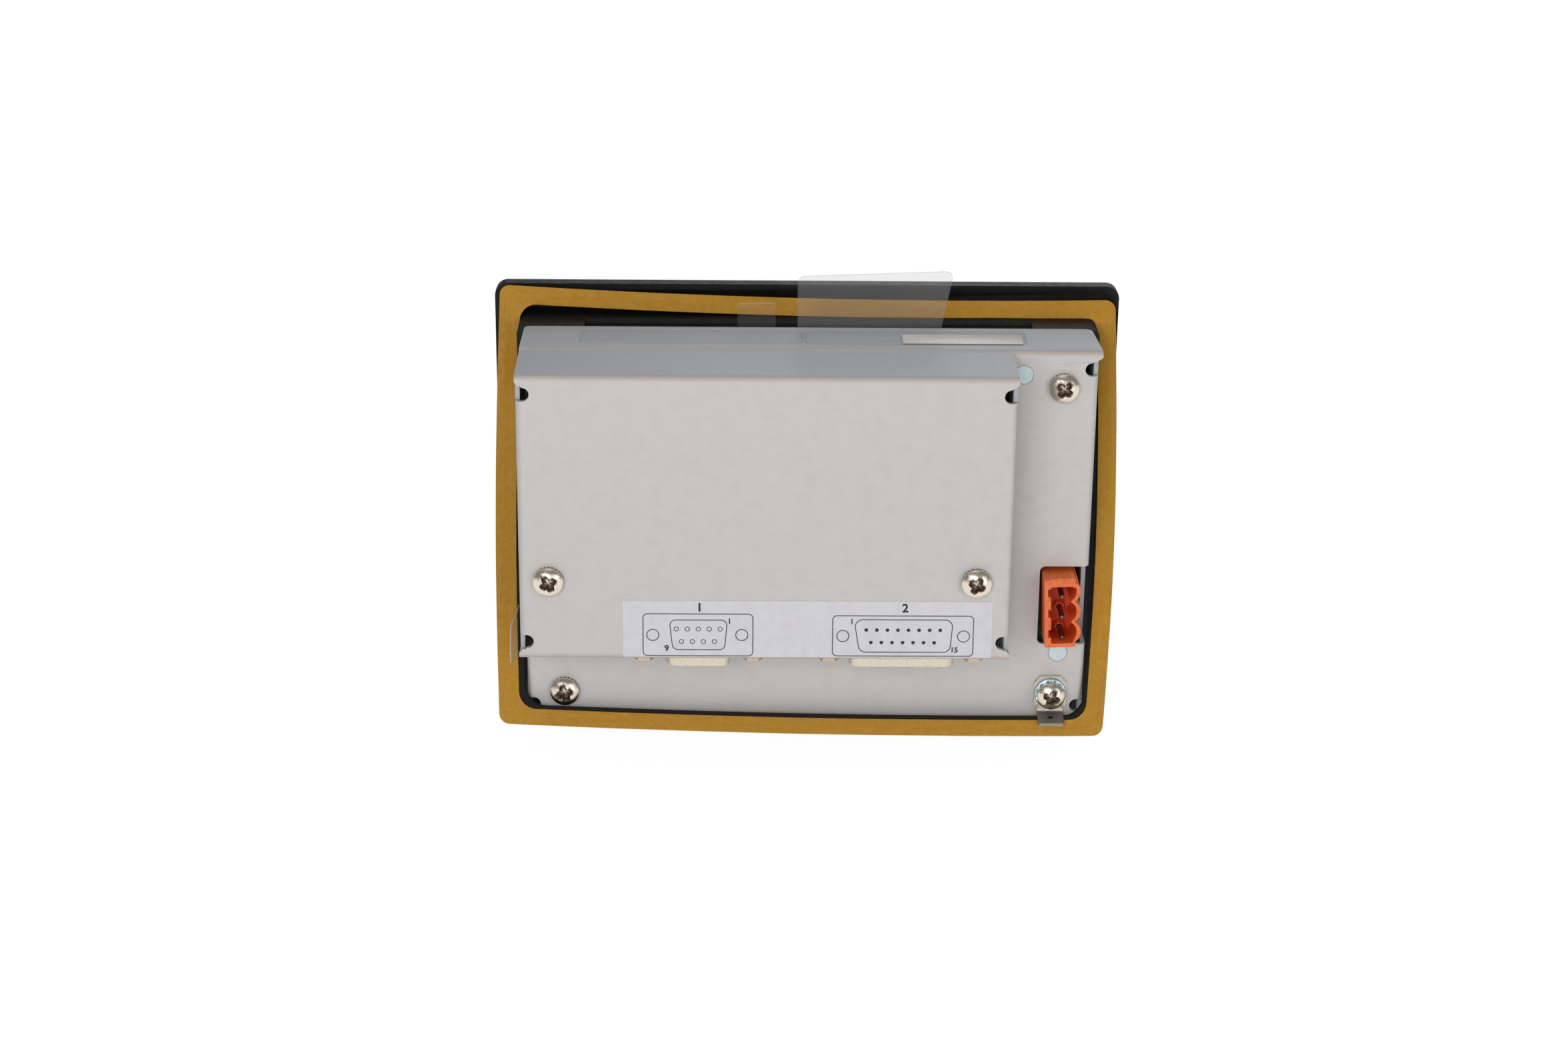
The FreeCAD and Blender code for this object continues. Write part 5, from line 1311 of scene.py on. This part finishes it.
for i in range(KEYS["function_key"][0]):
    node = f"function_key_{i + 1}"
    key_print(node, "_figure", [figures(str(i + 1), 4.2, *middle_of(node), rear=False)])
for i in range(KEYS["command_key"][0]):
    node = f"command_key_{i + 1}"
    x, z = middle_of(node)
    signs = [[arrow(x, z, 90)], [stroke(circle(x, z, 2.0, 32), 0.6)], [arrow(x, z, 180)],
             [arrow(x, z, 0)], [arrow(x, z, -90)], [bar(x, z, 4.2, 0.9), bar(x, z, 0.9, 4.2)]][i]
    key_print(node, "_sign", signs)


# ---------------------------------------------------------------- CAD nodes kept or softened
softened("front_housing", BLACK_ABS, 0.25)
softened("port_1_shell", YELLOW_ZINC, 0.12)
softened("port_2_shell", YELLOW_ZINC, 0.12)
softened("port_jackscrews", JACK_METAL, 0.15)
for row in frame["record"]["subparts"]:
    kept = frame["nodes"][row["node"]]
    kept.data.materials.clear()
    kept.data.materials.append(OWN_FINISH.get(row["node"], DRESS[row["material_slot"]]))


# ---------------------------------------------------------------- camera, floor and light
def set_camera():
    """A long lens behind the panel, above it and looking down on it. Its axes are worked out in
    the rear view's own directions (right, up, towards the viewer) from pitch, yaw and roll."""
    pitch, yaw, roll = (math.radians(a) for a in (20.86, 1.07, 0.65))
    distance, shift_right, shift_up = 715.3, -5.02, -5.91
    level_right = np.array([math.cos(yaw), 0, math.sin(yaw)])
    ahead = np.array([-math.sin(yaw), 0, math.cos(yaw)])
    above = np.array([0, 1, 0])
    level_up = math.cos(pitch) * above - math.sin(pitch) * ahead
    towards = math.sin(pitch) * above + math.cos(pitch) * ahead
    right = math.cos(roll) * level_right + math.sin(roll) * level_up
    up = -math.sin(roll) * level_right + math.cos(roll) * level_up
    place = distance * towards + shift_right * right + shift_up * up
    to_frame = np.array([[-1, 0, 0], [0, 0, 1], [0, 1, 0]])
    turned_axes = to_frame @ np.stack([right, up, towards], axis=1)
    matrix = np.eye(4)
    matrix[:3, :3], matrix[:3, 3] = turned_axes, to_frame @ place * MM
    lens = bpy.data.cameras.new("camera")
    lens.sensor_width, lens.lens = 36.0, 68.0
    lens.clip_start, lens.clip_end = 0.05, 50
    camera = bpy.data.objects.new("camera", lens)
    bpy.context.scene.collection.objects.link(camera)
    camera.matrix_world = Matrix(matrix.tolist())
    bpy.context.scene.camera = camera


def shown_white(tree, gloss):
    """1 for the rays that see a white backdrop: the camera's and those through glass, and gloss's
    where gloss is true."""
    rays = put(tree, "LightPath")
    seen = put(tree, "Math", {0: rays.outputs["Is Camera Ray"], 1: rays.outputs["Is Transmission Ray"]},
               operation="MAXIMUM").outputs[0]
    if gloss:
        seen = put(tree, "Math", {0: seen, 1: rays.outputs["Is Glossy Ray"]}, operation="MAXIMUM")
        seen = seen.outputs[0]
    return seen


def set_floor():
    """A wide white floor just under the lowest edge, which keeps a faint shadow."""
    made = bpy.data.materials.new("matt_white_floor")
    made.use_nodes = True
    tree = made.node_tree
    surface = tree.nodes["Principled BSDF"]
    surface.inputs["Base Color"].default_value = linear("#F7F7F7")
    surface.inputs["Roughness"].default_value = 0.9
    glow = put(tree, "Emission", {"Color": (1, 1, 1, 1), "Strength": 1.15})
    share = put(tree, "Math", {0: shown_white(tree, True), 1: 0.82}, operation="MULTIPLY")
    mixed = put(tree, "MixShader", {0: share.outputs[0], 1: surface.outputs[0], 2: glow.outputs[0]})
    tree.links.new(mixed.outputs[0], tree.nodes["Material Output"].inputs["Surface"])
    reach = 3.0
    mesh = bpy.data.meshes.new("floor")
    z = CAD_BOX[0].z - 0.0002
    mesh.from_pydata([(-reach, -reach, z), (reach, -reach, z), (reach, reach, z), (-reach, reach, z)], [],
                     [(0, 1, 2, 3)])
    mesh.materials.append(made)
    floor = bpy.data.objects.new("floor", mesh)
    bpy.context.scene.collection.objects.link(floor)


# each lamp's place in metres, its side in metres and its power in watts
LAMPS = {
    "key": ((0.35, 1.2, 0.4), 0.6, 6.3),
    "fill": ((-0.7, 1.0, 0.2), 0.7, 3.3),
    "front": ((-0.3, -1.1, 0.6), 0.9, 4.0),
    "top": ((0.1, 0.35, 1.3), 0.9, 1.8),
}


def set_light():
    """Plain soft light: an even pale world that the camera and glass see as white, a broad lamp
    beside the viewer, a weaker one across from it, one in front of the display and a faint one
    above."""
    world = bpy.data.worlds.new("studio")
    bpy.context.scene.world = world
    world.use_nodes = True
    tree = world.node_tree
    tree.nodes.clear()
    dim = put(tree, "Background", {"Color": linear("#EDEFF2"), "Strength": 0.27})
    white = put(tree, "Background", {"Color": (1, 1, 1, 1), "Strength": 1.0})
    mixed = put(tree, "MixShader", {0: shown_white(tree, False), 1: dim.outputs[0], 2: white.outputs[0]})
    put(tree, "OutputWorld", {0: mixed.outputs[0]})
    target = Vector((0, 0.02, 0))
    for name, (place, size, power) in LAMPS.items():
        lamp = bpy.data.lights.new(name, "AREA")
        lamp.shape, lamp.size, lamp.energy = "SQUARE", size, power
        holder = bpy.data.objects.new(name, lamp)
        bpy.context.scene.collection.objects.link(holder)
        holder.location = place
        holder.rotation_mode = "QUATERNION"
        holder.rotation_quaternion = (target - Vector(place)).to_track_quat("-Z", "Y")


set_camera()
set_floor()
set_light()
bpy.context.scene.view_settings.view_transform = "Standard"
